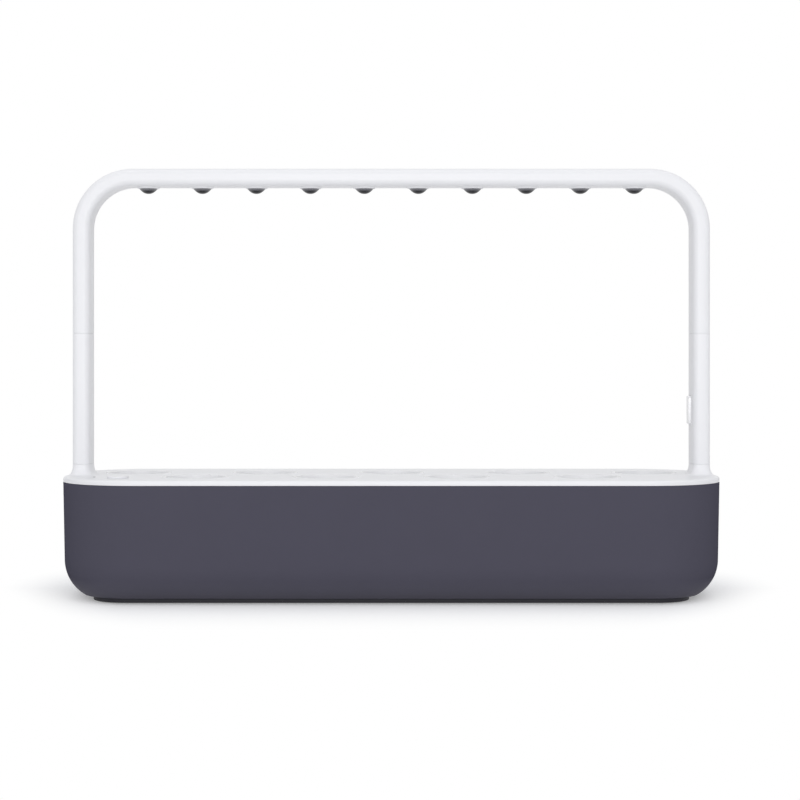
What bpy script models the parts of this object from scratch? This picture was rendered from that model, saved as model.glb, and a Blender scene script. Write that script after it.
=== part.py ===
"""Countertop hydroponic garden: a water tank on a plinth, a lid with nine cups and a float gauge,
two extension tubes, and an arched lamp that plugs on top of them.

Metres, +Z up. The origin is on the resting surface under the middle of the tank; +X runs along
the tank towards the powered end and +Y towards the back.
"""

from math import cos, pi, sin

import bmesh
import bpy

# Fits
GAP = 0.0003                    # between pieces that rest on each other or are fixed together
SLIP = 0.0003                   # all round, between a spigot and the tube that slides over it
OVERRUN = 0.001                 # how far a cut runs past the face that it opens

# Tank
TANK_LENGTH = 0.611
TANK_DEPTH = 0.185
END_FLAT = 0.0185               # half the straight stretch between the rounded corners of an end
TANK_HEIGHT = 0.1036            # from its underside to its top edge
TANK_WALL = 0.0028
SIDE_LEAN_SHARE = 0.019         # how far the sides draw in for each unit of depth
HEEL_ACROSS = 0.034             # the rounded heel between the sides and the underside
HEEL_UP = 0.036
HEEL_TURN_SHARE = 0.68          # of a quarter turn, before the flat underside cuts it off
HEEL_END_SHARE = 0.10           # of its draw, added at the two ends
HEEL_CORNER_SHARE = 1.4         # of its draw, taken off the corners' radius
SCREW_POST_RADIUS = 0.0045      # blind posts inside the tank that the plinth's screws bite into
SCREW_POST_HEIGHT = 0.011

# Plinth, its feet and its screws
PLINTH_HEIGHT = 0.0036
PLINTH_SETBACK = 0.0025         # from the edge of the tank's underside, along the front and the back
PLINTH_END_SETBACK = 0.00975    # and at the ends
PLINTH_CORNER = 0.034
PLINTH_WALL = 0.0025
PLINTH_TOP = 0.0016
FOOT_PROUD = 0.0008             # how far a foot stands out below the plinth
FOOT_RADIUS = 0.009
FOOT_END_MARGIN = 0.053         # from the plinth's end to a foot's middle
FOOT_SIDE_MARGIN = 0.0185
BASE_SCREW_X = 0.150
BASE_SCREW_Y = 0.030
SCREW_RADIUS = 0.0014
SCREW_HEAD_RADIUS = 0.003
SCREW_HEAD_HEIGHT = 0.0014
BASE_SCREW_BITE = 0.008         # how far a base screw goes into its post
SCREW_CLEARANCE = 0.0003

# Lid
LID_RIM = 0.005                 # from the tank's top edge to the lid's flat top
LID_PLATE = 0.0024
LID_EDGE_RADIUS = 0.0022
SKIRT_DEPTH = 0.0075
SKIRT_WALL = 0.0018
SKIRT_CLEARANCE = 0.0005
VENT_WIDTH = 0.0027             # a slot that a rubber plug closes
VENT_LENGTH = 0.0056
VENT_CORNER = 0.001
VENT_END_MARGIN = 0.0312        # from the lid's end to the vent's middle
VENT_SIDE_MARGIN = 0.0515       # from the lid's front to the vent's middle
PLUG_LIP = 0.0008               # of the plug beyond its slot, under the lid
PLUG_LIP_THICKNESS = 0.001

# Posts: one section for the lid's bosses, the extension tubes and the arch
POST_ACROSS = 0.0162
POST_DEPTH = 0.036
POST_CORNER = 0.0058
POST_WALL = 0.002
POST_SETBACK = 0.0152           # from the lid's end to a post's middle
BOSS_HEIGHT = 0.0102            # of the lid's bosses above its flat top
BOSS_LAND = 0.0007              # the upright stretch above the boss's flare
FLARE_ACROSS = 0.0048
SPIGOT_HEIGHT = 0.012
SPIGOT_WALL = 0.0018
EXTENSION_LENGTH = 0.122

# Plant cups
CUPS = 9
CUP_END_MARGIN = 0.0483         # from a post's middle to the last cup's middle
CUP_ROW_OFFSET = 0.033          # of each row from the lid's centre line
CUP_MOUTH_RADIUS = 0.0280
CUP_FLANGE_RADIUS = 0.031
CUP_FLANGE = 0.001
CUP_WALL = 0.0012
CUP_DEPTH = 0.050
CUP_FOOT_RADIUS = 0.021
WICK_HOLE_RADIUS = 0.007
CUP_CLEARANCE = 0.0005          # between a cup's side and its hole in the lid

# Float gauge
FLOAT_END_MARGIN = 0.0552       # from the lid's end to the float's axis
FLOAT_SIDE_MARGIN = 0.0355      # from the lid's front to the float's axis
CAP_RADIUS = 0.0098
CAP_HEIGHT = 0.0017
STEM_RADIUS = 0.0024
STEM_SOCKET = 0.0009            # how deep the stem sits in its cap
GUIDE_BORE = 0.0030
GUIDE_RADIUS = 0.0048
GUIDE_FLANGE_RADIUS = 0.0082
GUIDE_FLANGE = 0.0014
GUIDE_LENGTH = 0.034            # below its flange
FLOAT_TRAVEL = 0.020
TRAVEL_SPARE = 0.004            # left between bob and guide when the float is right up
BOB_RADIUS = 0.014
BOB_HEIGHT = 0.020
BOB_EDGE = 0.003
BOB_BITE = 0.010                # how far the stem goes into the bob

# Power inlet and the contacts that carry power up the right-hand post
INLET_RADIUS = 0.0033
INLET_BORE = 0.0018
INLET_BORE_DEPTH = 0.007
INLET_HEIGHT = 0.0050           # of its axis above the lid's flat top
INLET_PROUD = 0.0004
PIN_RADIUS = 0.0009
PIN_LENGTH = 0.006
PIN_SPACING = 0.008
PIN_CLEARANCE = 0.0004
BLOCK_FRONT = 0.0130            # a contact block's reach forward of the post's middle
BLOCK_BACK = 0.0060             # and back of it, short of the inlet
SOCKET_HEIGHT = 0.014
RAIL_THICKNESS = 0.0024
RAIL_WIDTH = 0.012

# Lamp button and its switch, on the right-hand extension tube
BUTTON_RISE = 0.0502            # from the tube's lower end to the button's middle
BUTTON_BACK = 0.0035            # of its middle behind the post's middle
BUTTON_LENGTH = 0.0264
BUTTON_WIDTH = 0.013
BUTTON_PROUD = 0.0025
BUTTON_TRAVEL = 0.001
BUTTON_LIP = 0.001              # of the button beyond its window, inside the tube
BUTTON_LIP_THICKNESS = 0.0008
SWITCH_LENGTH = 0.010
SWITCH_WIDTH = 0.008
SWITCH_REST_GAP = 0.0003        # between a pressed button and the switch

# Lamp
LAMP_HEIGHT = 0.1542            # from the foot of the arch's legs to the top of its bar
ELBOW_RADIUS = 0.0478           # of the arch's centre line
SLOT_LIP = 0.0002               # flat left beside the slot on the arch's inner face
LENSES = 10
LENS_END_MARGIN = 0.0135        # from an elbow's end to the last lens
LENS_RADIUS = 0.0086
LENS_FLANGE_RADIUS = 0.0104
LENS_FLANGE = 0.0012
LENS_RECESS_RADIUS = 0.0034
LENS_RECESS = 0.0013
LENS_DROP = 0.0065              # of its tip below the bar's underside
LENS_DOME_SHARES = ((0.85, 0.30), (0.60, 0.66), (0.30, 0.93))   # of radius and of dome height
BEZEL_HEIGHT = 0.0017
BEZEL_WALL = 0.0009
BEZEL_MARGIN = 0.0002           # from the bezel's root to the cover's edge
BOARD_THICKNESS = 0.0016
BOARD_WIDTH = 0.018
BOARD_END_MARGIN = 0.0105       # beyond the last lens's middle
CHIP_SIZE = 0.0035
CHIP_HEIGHT = 0.0008
SPREADER_THICKNESS = 0.003
SPREADER_WIDTH = 0.022
LAMP_SCREW_BITE = 0.0035
LAMP_POST_RADIUS = 0.0032       # posts inside the bar that the lamp's screws bite into
DRIVER_LENGTH = 0.060
DRIVER_WIDTH = 0.024
DRIVER_THICKNESS = 0.0016
DRIVER_PARTS_HEIGHT = 0.003
LEAD_RADIUS = 0.0013

# Heights and places that follow from the sizes above
plinth_foot = FOOT_PROUD
plinth_head = plinth_foot + PLINTH_HEIGHT
tank_foot = plinth_head + GAP
tank_head = tank_foot + TANK_HEIGHT
heel_head = tank_foot + HEEL_UP * sin(HEEL_TURN_SHARE * pi / 2)
side_inset = SIDE_LEAN_SHARE * (tank_head - heel_head)
foot_draw = HEEL_ACROSS * (1 - cos(HEEL_TURN_SHARE * pi / 2))
plinth_x = TANK_LENGTH / 2 - side_inset - foot_draw * (1 + HEEL_END_SHARE) - PLINTH_END_SETBACK
plinth_y = TANK_DEPTH / 2 - side_inset - foot_draw - PLINTH_SETBACK
lid_top = tank_head + LID_RIM
lid_under = lid_top - LID_PLATE
boss_top = lid_top + BOSS_HEIGHT
tube_foot = boss_top + GAP
tube_head = tube_foot + EXTENSION_LENGTH
arch_foot = tube_head + GAP
bar_top = arch_foot + LAMP_HEIGHT
bar_middle = bar_top - POST_ACROSS / 2
bar_under = bar_top - POST_ACROSS
corner_radius = TANK_DEPTH / 2 - END_FLAT       # of the outline at the tank's top edge
post_x = TANK_LENGTH / 2 - POST_SETBACK
elbow_x = post_x - ELBOW_RADIUS
elbow_z = bar_middle - ELBOW_RADIUS
slot_half = POST_DEPTH / 2 - POST_CORNER - SLOT_LIP

CORNER_STEPS = 6                # facets in each corner of the tank's outline
HEEL_STEPS = 5                  # facets up the tank's heel
POST_STEPS = 3                  # facets in each corner of a post's section
ELBOW_STEPS = 7
ROUND = 18                      # sides of a round piece
SMALL_ROUND = 12                # sides of a small one


def clear_scene():
    for obj in list(bpy.data.objects):
        bpy.data.objects.remove(obj, do_unlink=True)


def finish(name, colour, roughness, metallic=0.0):
    """A material with one colour, one roughness and one metallic value."""
    material = bpy.data.materials.new(name)
    material.use_nodes = True
    shader = material.node_tree.nodes["Principled BSDF"]
    shader.inputs["Base Color"].default_value = (*colour, 1.0)
    shader.inputs["Roughness"].default_value = roughness
    shader.inputs["Metallic"].default_value = metallic
    return material


clear_scene()
SLATE = finish("slate_plastic", (0.075, 0.072, 0.092), 0.5)
BLACK = finish("black_plastic", (0.022, 0.021, 0.028), 0.6)
RUBBER = finish("rubber", (0.02, 0.02, 0.02), 0.8)
STEEL = finish("zinc_plated_steel", (0.62, 0.62, 0.60), 0.35, 1.0)
WHITE = finish("white_plastic", (0.82, 0.82, 0.84), 0.4)
CUP_WHITE = finish("cup_plastic", (0.80, 0.80, 0.79), 0.5)
FOAM = finish("float_foam", (0.72, 0.73, 0.70), 0.9)
JACK = finish("inlet_plastic", (0.03, 0.03, 0.03), 0.4)
CONTACT = finish("contact_plastic", (0.25, 0.24, 0.22), 0.5)
SMOKED = finish("smoked_lens", (0.045, 0.044, 0.055), 0.12)
BOARD = finish("board_white", (0.70, 0.72, 0.70), 0.5)
DRIVER = finish("board_green", (0.03, 0.20, 0.09), 0.45)
ALUMINIUM = finish("aluminium", (0.75, 0.76, 0.77), 0.35, 1.0)
LEAD = finish("lead_sheath", (0.60, 0.60, 0.60), 0.5)


def link(name, bm, material, location=(0, 0, 0)):
    """Makes an object of the bmesh, with flat faces kept flat and round ones smooth."""
    bmesh.ops.recalc_face_normals(bm, faces=bm.faces)
    mesh = bpy.data.meshes.new(name)
    bm.to_mesh(mesh)
    bm.free()
    mesh.shade_smooth()
    mesh.set_sharp_from_angle(angle=pi / 6)
    obj = bpy.data.objects.new(name, mesh)
    bpy.context.scene.collection.objects.link(obj)
    obj.location = location
    if material:
        mesh.materials.append(material)
    return obj


def corner_outline(half_x, half_y, radius, steps):
    """A rectangle with rounded corners, anticlockwise, as (x, y) points."""
    points = []
    for turn, (side_x, side_y) in enumerate(((1, 1), (-1, 1), (-1, -1), (1, -1))):
        for step in range(steps + 1):
            angle = (turn + step / steps) * pi / 2
            points.append((side_x * (half_x - radius) + radius * cos(angle),
                           side_y * (half_y - radius) + radius * sin(angle)))
    return points


def tank_outline(inset, heel_draw=0):
    """The tank's outline, drawn in by inset from its top edge and further by its heel."""
    return corner_outline(TANK_LENGTH / 2 - inset - heel_draw * (1 + HEEL_END_SHARE),
                          TANK_DEPTH / 2 - inset - heel_draw,
                          corner_radius - inset - heel_draw * HEEL_CORNER_SHARE, CORNER_STEPS)


def post_outline(inset):
    """A post's section, drawn in by inset, or grown where inset is negative."""
    return corner_outline(POST_ACROSS / 2 - inset, POST_DEPTH / 2 - inset,
                          POST_CORNER - inset, POST_STEPS)


def loft(bm, rings, loop=False):
    """Skins rings that have equal counts of points, each ring an outline and its height."""
    rows = [[bm.verts.new((x, y, z)) for x, y in outline] for outline, z in rings]
    count = len(rows[0])
    pairs = list(zip(rows, rows[1:]))
    if loop:
        pairs.append((rows[-1], rows[0]))
    for lower, upper in pairs:
        for i in range(count):
            j = (i + 1) % count
            bm.faces.new((lower[i], lower[j], upper[j], upper[i]))
    if not loop:
        bm.faces.new(rows[0])
        bm.faces.new(rows[-1])


def lofted(name, rings, material, location=(0, 0, 0), loop=False):
    bm = bmesh.new()
    loft(bm, rings, loop)
    return link(name, bm, material, location)


def turned(name, profile, material, location=(0, 0, 0), sides=ROUND):
    """Spins a closed (radius, height) profile once round the piece's own Z axis."""
    bm = bmesh.new()
    verts = [bm.verts.new((radius, 0, height)) for radius, height in profile]
    edges = [bm.edges.new(pair) for pair in zip(verts, verts[1:])]
    if profile[0][0] or profile[-1][0]:
        edges.append(bm.edges.new((verts[-1], verts[0])))
    bmesh.ops.spin(bm, geom=verts + edges, cent=(0, 0, 0), axis=(0, 0, 1),
                   angle=2 * pi, steps=sides, use_merge=True)
    bmesh.ops.remove_doubles(bm, verts=bm.verts, dist=GAP / 100)
    return link(name, bm, material, location)


def block(name, low, high, material):
    """An upright box between two corners."""
    bm = bmesh.new()
    bmesh.ops.create_cube(bm, size=1)
    size = [b - a for a, b in zip(low, high)]
    middle = [(a + b) / 2 for a, b in zip(low, high)]
    bmesh.ops.scale(bm, vec=size, verts=bm.verts)
    return link(name, bm, material, middle)


def rod(name, radius, low, high, material=None, sides=SMALL_ROUND, at=(0, 0)):
    """An upright cylinder from low to high."""
    profile = ((0, low), (radius, low), (radius, high), (0, high))
    return turned(name, profile, material, (*at, 0), sides)


def use(body, cutters, operation):
    """Cuts the helpers from a body, or joins them to it, and hides them."""
    group = bpy.data.collections.new(f"{body.name}_{operation.lower()}")
    bpy.context.scene.collection.children.link(group)
    for cutter in cutters:
        bpy.context.scene.collection.objects.unlink(cutter)
        group.objects.link(cutter)
        cutter.hide_render = True
        cutter.display_type = "WIRE"
    change = body.modifiers.new(operation.lower(), "BOOLEAN")
    change.operation = operation
    change.operand_type = "COLLECTION"
    change.collection = group


def cut(body, cutters):
    use(body, cutters, "DIFFERENCE")


def join(body, pieces):
    use(body, pieces, "UNION")


def heel_rings(wall):
    """Rings up the heel and the side, on a skin that lies wall inside the outer one."""
    rings = []
    for step in range(HEEL_STEPS + 1):
        angle = HEEL_TURN_SHARE * (1 - step / HEEL_STEPS) * pi / 2
        outline = tank_outline(side_inset + wall, (HEEL_ACROSS - wall) * (1 - cos(angle)))
        rings.append((outline, heel_head - (HEEL_UP - wall) * sin(angle)))
    rings.append((tank_outline(wall), tank_head))
    return rings


def four_places(x, y):
    """The four corners at plus and minus x and y, with a name for each."""
    sides = (("front_left", -1, -1), ("front_right", 1, -1), ("back_left", -1, 1), ("back_right", 1, 1))
    return [(name, side_x * x, side_y * y) for name, side_x, side_y in sides]


def make_tank():
    """The moulded tank: one thin skin, open at the top, with four blind screw posts in its floor."""
    tank = lofted("water_tank", heel_rings(0) + heel_rings(TANK_WALL)[::-1], SLATE)
    places = four_places(BASE_SCREW_X, BASE_SCREW_Y)
    post_low = tank_foot + TANK_WALL / 2
    post_high = tank_foot + SCREW_POST_HEIGHT
    join(tank, [rod(f"screw_post_{name}", SCREW_POST_RADIUS, post_low, post_high, at=(x, y))
                for name, x, y in places])
    hole = SCREW_RADIUS + SCREW_CLEARANCE
    hole_high = tank_foot + BASE_SCREW_BITE + GAP
    cut(tank, [rod(f"post_hole_{name}", hole, tank_foot - OVERRUN, hole_high, at=(x, y))
               for name, x, y in places])


def make_plinth():
    """The black plinth under the tank: a plate with a rim, held by four screws, on four feet."""
    outer = corner_outline(plinth_x, plinth_y, PLINTH_CORNER, CORNER_STEPS)
    inner = corner_outline(plinth_x - PLINTH_WALL, plinth_y - PLINTH_WALL, PLINTH_CORNER - PLINTH_WALL,
                           CORNER_STEPS)
    plate_under = plinth_head - PLINTH_TOP
    plinth = lofted("base_plinth", [(outer, plinth_head), (outer, plinth_foot),
                                    (inner, plinth_foot), (inner, plate_under)], BLACK)
    hole = SCREW_RADIUS + SCREW_CLEARANCE
    places = four_places(BASE_SCREW_X, BASE_SCREW_Y)
    cut(plinth, [rod(f"plinth_hole_{name}", hole, plate_under - OVERRUN, plinth_head + OVERRUN, at=(x, y))
                 for name, x, y in places])
    seat = plate_under - GAP
    for name, x, y in places:
        screw(f"base_screw_{name}", seat, tank_foot + BASE_SCREW_BITE, (x, y))
    edge = FOOT_PROUD / 2
    profile = ((0, 0), (FOOT_RADIUS - edge, 0), (FOOT_RADIUS, edge), (FOOT_RADIUS, seat), (0, seat))
    for name, x, y in four_places(plinth_x - FOOT_END_MARGIN, plinth_y - FOOT_SIDE_MARGIN):
        turned(f"rubber_foot_{name}", profile, RUBBER, (x, y, 0))


def screw(name, seat, tip, at):
    """A pan-head screw put in from below: its head hangs under seat and its tip points up."""
    head = seat - SCREW_HEAD_HEIGHT
    edge = SCREW_HEAD_HEIGHT / 2
    profile = ((0, head), (SCREW_HEAD_RADIUS - edge, head), (SCREW_HEAD_RADIUS, head + edge),
               (SCREW_HEAD_RADIUS, seat), (SCREW_RADIUS, seat), (SCREW_RADIUS, tip), (0, tip))
    turned(name, profile, STEEL, (*at, 0), SMALL_ROUND)


def cup_places():
    """Nine cups in a zigzag: the odd ones in the back row, the even ones in the front row."""
    pitch = 2 * (post_x - CUP_END_MARGIN) / (CUPS - 1)
    return [((i - (CUPS - 1) / 2) * pitch, CUP_ROW_OFFSET * (1 if i % 2 == 0 else -1))
            for i in range(CUPS)]


def boss(name, x):
    """The solid core of a boss on the lid, with its flare and the spigot that stands on it."""
    flare_up = BOSS_HEIGHT - BOSS_LAND
    rings = [(post_outline(-FLARE_ACROSS), lid_under + LID_PLATE / 4)]
    for step in range(POST_STEPS + 1):
        angle = (1 - step / POST_STEPS) * pi / 2
        rings.append((post_outline(-FLARE_ACROSS * (1 - cos(angle))), lid_top + flare_up * (1 - sin(angle))))
    rings.append((post_outline(0), boss_top))
    spigot = post_outline(POST_WALL + SLIP)
    rings += [(spigot, boss_top), (spigot, boss_top + SPIGOT_HEIGHT)]
    return lofted(name, rings, None, (x, 0, 0))


def float_place():
    return (FLOAT_END_MARGIN - TANK_LENGTH / 2, FLOAT_SIDE_MARGIN - TANK_DEPTH / 2)


def inlet_cutter(y_low, y_high, radius, name):
    """A cylinder along Y on the power inlet's axis."""
    bm = bmesh.new()
    bmesh.ops.create_cone(bm, cap_ends=True, segments=SMALL_ROUND, radius1=radius, radius2=radius,
                          depth=y_high - y_low)
    obj = link(name, bm, None, (post_x, (y_low + y_high) / 2, lid_top + INLET_HEIGHT))
    obj.rotation_euler = (pi / 2, 0, 0)
    return obj


def inlet_face():
    """How far back the inlet's outer end stands: just proud of the boss's flare at its height."""
    flare_up = BOSS_HEIGHT - BOSS_LAND
    height_share = 1 - INLET_HEIGHT / flare_up
    return POST_DEPTH / 2 + FLARE_ACROSS * (1 - (1 - height_share ** 2) ** 0.5) + INLET_PROUD


def make_lid():
    """The white lid: a thin plate with a rim and a skirt, two bosses, and holes for cups and float."""
    skirt_low = tank_head - SKIRT_DEPTH
    skirt_out = TANK_WALL + SKIRT_CLEARANCE
    skirt_in = skirt_out + SKIRT_WALL
    rim_under = tank_head + GAP
    rings = [(tank_outline(skirt_in), lid_under), (tank_outline(skirt_in), skirt_low),
             (tank_outline(skirt_out), skirt_low), (tank_outline(skirt_out), rim_under),
             (tank_outline(0), rim_under)]
    for step in range(POST_STEPS):
        angle = step / (POST_STEPS - 1) * pi / 2
        rings.append((tank_outline(LID_EDGE_RADIUS * (1 - cos(angle))),
                      lid_top - LID_EDGE_RADIUS * (1 - sin(angle))))
    lid = lofted("lid", rings, WHITE)
    join(lid, [boss("left_boss", -post_x), boss("right_boss", post_x)])

    bore = post_outline(POST_WALL + SLIP + SPIGOT_WALL)
    bore_high = boss_top + SPIGOT_HEIGHT + OVERRUN
    cutters = [lofted(f"{side}_bore", [(bore, lid_under - OVERRUN), (bore, bore_high)], None, (x, 0, 0))
               for side, x in (("left", -post_x), ("right", post_x))]
    hole = CUP_MOUTH_RADIUS + CUP_WALL + CUP_CLEARANCE
    recess = CUP_FLANGE_RADIUS + GAP
    ledge = lid_top - CUP_FLANGE - GAP
    profile = ((0, lid_under - OVERRUN), (hole, lid_under - OVERRUN), (hole, ledge), (recess, ledge),
               (recess, lid_top + OVERRUN), (0, lid_top + OVERRUN))
    cutters += [turned(f"cup_hole_{i + 1}", profile, None, (x, y, 0))
                for i, (x, y) in enumerate(cup_places())]
    cutters.append(rod("float_hole", GUIDE_RADIUS + GAP, lid_under - OVERRUN, lid_top + OVERRUN,
                       at=float_place()))
    vent = vent_outline(0)
    cutters.append(lofted("vent_hole", [(vent, lid_under - OVERRUN), (vent, lid_top + OVERRUN)], None,
                          vent_place()))
    cutters.append(inlet_cutter(0, inlet_face() + OVERRUN, INLET_RADIUS + GAP, "inlet_hole"))
    cut(lid, cutters)


def vent_outline(inset):
    """The vent slot's outline, drawn in by inset, or grown where inset is negative."""
    return corner_outline(VENT_WIDTH / 2 - inset, VENT_LENGTH / 2 - inset, VENT_CORNER - inset, POST_STEPS)


def vent_place():
    return (VENT_END_MARGIN - TANK_LENGTH / 2, VENT_SIDE_MARGIN - TANK_DEPTH / 2, 0)


def make_vent_plug():
    """The dark rubber plug in the vent slot, flush with the lid and held by its lip underneath."""
    lip_top = lid_under - GAP
    stem, lip = vent_outline(GAP), vent_outline(-PLUG_LIP)
    lofted("vent_plug", [(lip, lip_top - PLUG_LIP_THICKNESS), (lip, lip_top), (stem, lip_top), (stem, lid_top)],
           RUBBER, vent_place())


def make_cups():
    """Nine thin tapered cups that hang in the lid by their flanges, each with a wick hole."""
    foot = lid_top - CUP_DEPTH
    side = CUP_MOUTH_RADIUS + CUP_WALL
    under_flange = lid_top - CUP_FLANGE
    profile = ((WICK_HOLE_RADIUS, foot), (CUP_FOOT_RADIUS, foot), (side, under_flange),
               (CUP_FLANGE_RADIUS, under_flange), (CUP_FLANGE_RADIUS, lid_top),
               (CUP_MOUTH_RADIUS, lid_top), (CUP_FOOT_RADIUS - CUP_WALL, foot + CUP_WALL),
               (WICK_HOLE_RADIUS, foot + CUP_WALL))
    for i, (x, y) in enumerate(cup_places()):
        turned(f"plant_cup_{i + 1}", profile, CUP_WHITE, (x, y, 0))


def make_float():
    """The water gauge: a cap on a stem that a foam bob lifts through a guide clipped in the lid."""
    x, y = float_place()
    flange_top = lid_under - GAP
    flange_under = flange_top - GUIDE_FLANGE
    guide_foot = flange_under - GUIDE_LENGTH
    guide = ((GUIDE_BORE, guide_foot), (GUIDE_RADIUS, guide_foot), (GUIDE_RADIUS, flange_under),
             (GUIDE_FLANGE_RADIUS, flange_under), (GUIDE_FLANGE_RADIUS, flange_top),
             (GUIDE_RADIUS, flange_top), (GUIDE_RADIUS, lid_top), (GUIDE_BORE, lid_top))
    turned("float_guide", guide, WHITE, (x, y, 0), SMALL_ROUND)

    cap_under = lid_top + GAP
    cap_top = cap_under + CAP_HEIGHT
    socket = STEM_RADIUS + GAP
    edge = CAP_HEIGHT / 3
    cap = ((0, cap_under + STEM_SOCKET), (socket, cap_under + STEM_SOCKET), (socket, cap_under),
           (CAP_RADIUS, cap_under), (CAP_RADIUS, cap_top - edge), (CAP_RADIUS - edge, cap_top), (0, cap_top))
    turned("float_cap", cap, WHITE, (x, y, 0))

    bob_top = guide_foot - FLOAT_TRAVEL - TRAVEL_SPARE
    bob_foot = bob_top - BOB_HEIGHT
    stem_foot = bob_top - BOB_BITE
    rod("float_stem", STEM_RADIUS, stem_foot, cap_under + STEM_SOCKET - GAP, WHITE, at=(x, y))
    bob = ((0, bob_foot), (BOB_RADIUS - BOB_EDGE, bob_foot), (BOB_RADIUS, bob_foot + BOB_EDGE),
           (BOB_RADIUS, bob_top - BOB_EDGE), (BOB_RADIUS - BOB_EDGE, bob_top), (socket, bob_top),
           (socket, stem_foot - GAP), (0, stem_foot - GAP))
    turned("float_bob", bob, FOAM, (x, y, 0))


def make_inlet():
    """The round low-voltage inlet at the back of the right-hand boss, soldered to the contact block."""
    face = inlet_face()
    inlet = inlet_cutter(BLOCK_BACK + GAP, face, INLET_RADIUS, "power_inlet")
    inlet.data.materials.append(JACK)
    cut(inlet, [inlet_cutter(face - INLET_BORE_DEPTH, face + OVERRUN, INLET_BORE, "inlet_socket")])


def pins(name, radius, low, high):
    """A pair of upright rods beside each other in the right-hand post."""
    middle = (BLOCK_BACK - BLOCK_FRONT) / 2
    return [rod(f"{name}_{i}", radius, low, high, at=(post_x, middle + side * PIN_SPACING / 2))
            for i, side in enumerate((-1, 1))]


def make_contacts():
    """Plug-in contacts: pins stand on the lid and on the tube, and sockets above sit over them."""
    bore_half = POST_ACROSS / 2 - POST_WALL - SLIP - SPIGOT_WALL - GAP
    low_y, high_y = -BLOCK_FRONT, BLOCK_BACK
    spigot_top = boss_top + SPIGOT_HEIGHT
    lid_contact = block("lid_contact_block", (post_x - bore_half, low_y, lid_under),
                        (post_x + bore_half, high_y, spigot_top), CONTACT)
    join(lid_contact, pins("lid_pin", PIN_RADIUS, spigot_top - OVERRUN, spigot_top + PIN_LENGTH))

    hole = PIN_RADIUS + PIN_CLEARANCE
    tube_half = POST_ACROSS / 2 - POST_WALL - GAP
    socket_low = spigot_top + GAP
    socket_high = socket_low + SOCKET_HEIGHT
    tube_spigot_top = tube_head + SPIGOT_HEIGHT
    plug_low = tube_head - POST_WALL
    wiring = block("extension_wiring", (post_x - tube_half, low_y, socket_low),
                   (post_x + tube_half, high_y, socket_high), CONTACT)
    rail_y = (low_y + high_y) / 2
    rail = block("rail",
                 (post_x + tube_half - RAIL_THICKNESS, rail_y - RAIL_WIDTH / 2, socket_high - OVERRUN),
                 (post_x + tube_half, rail_y + RAIL_WIDTH / 2, plug_low), None)
    plug = block("plug", (post_x - bore_half, low_y, plug_low - RAIL_THICKNESS),
                 (post_x + bore_half, high_y, tube_spigot_top), None)
    foot = block("plug_foot", (post_x, rail_y - RAIL_WIDTH / 2, plug_low - 2 * RAIL_THICKNESS),
                 (post_x + tube_half, rail_y + RAIL_WIDTH / 2, plug_low - RAIL_THICKNESS / 2), None)
    join(wiring, [rail])
    join(wiring, [plug])
    join(wiring, [foot])
    join(wiring, pins("tube_pin", PIN_RADIUS, tube_spigot_top - OVERRUN, tube_spigot_top + PIN_LENGTH))
    cut(wiring, pins("tube_socket", hole, socket_low - OVERRUN, spigot_top + PIN_LENGTH + GAP))

    arch_socket_low = tube_spigot_top + GAP
    arch_contact = block("arch_contact_block", (post_x - tube_half, -POST_DEPTH / 2 + POST_WALL + POST_CORNER,
                                                arch_socket_low),
                         (post_x + tube_half, POST_DEPTH / 2 - POST_WALL - POST_CORNER,
                          arch_socket_low + SOCKET_HEIGHT), CONTACT)
    cut(arch_contact, pins("arch_socket", hole, arch_socket_low - OVERRUN,
                           tube_spigot_top + PIN_LENGTH + GAP))
    return arch_socket_low + SOCKET_HEIGHT


def extension_tube(name, x):
    """A hollow tube that slips over the spigot below it and carries a like spigot on top."""
    wall = post_outline(POST_WALL)
    spigot = post_outline(POST_WALL + SLIP)
    bore = post_outline(POST_WALL + SLIP + SPIGOT_WALL)
    outer = post_outline(0)
    neck = tube_head - POST_WALL
    top = tube_head + SPIGOT_HEIGHT
    rings = [(outer, tube_foot), (outer, tube_head), (spigot, tube_head), (spigot, top),
             (bore, top), (bore, neck), (wall, neck), (wall, tube_foot)]
    return lofted(name, rings, WHITE, (x, 0, 0), loop=True)


def make_extensions():
    """Two extension tubes; the right-hand one has a window for the button."""
    extension_tube("left_extension_tube", -post_x)
    right = extension_tube("right_extension_tube", post_x)
    middle = tube_foot + BUTTON_RISE
    inner_face = post_x - POST_ACROSS / 2
    half_z = BUTTON_LENGTH / 2 + GAP
    half_y = BUTTON_WIDTH / 2 + GAP
    cut(right, [block("button_window", (inner_face - OVERRUN, BUTTON_BACK - half_y, middle - half_z),
                      (inner_face + POST_WALL + OVERRUN, BUTTON_BACK + half_y, middle + half_z), None)])


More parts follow.
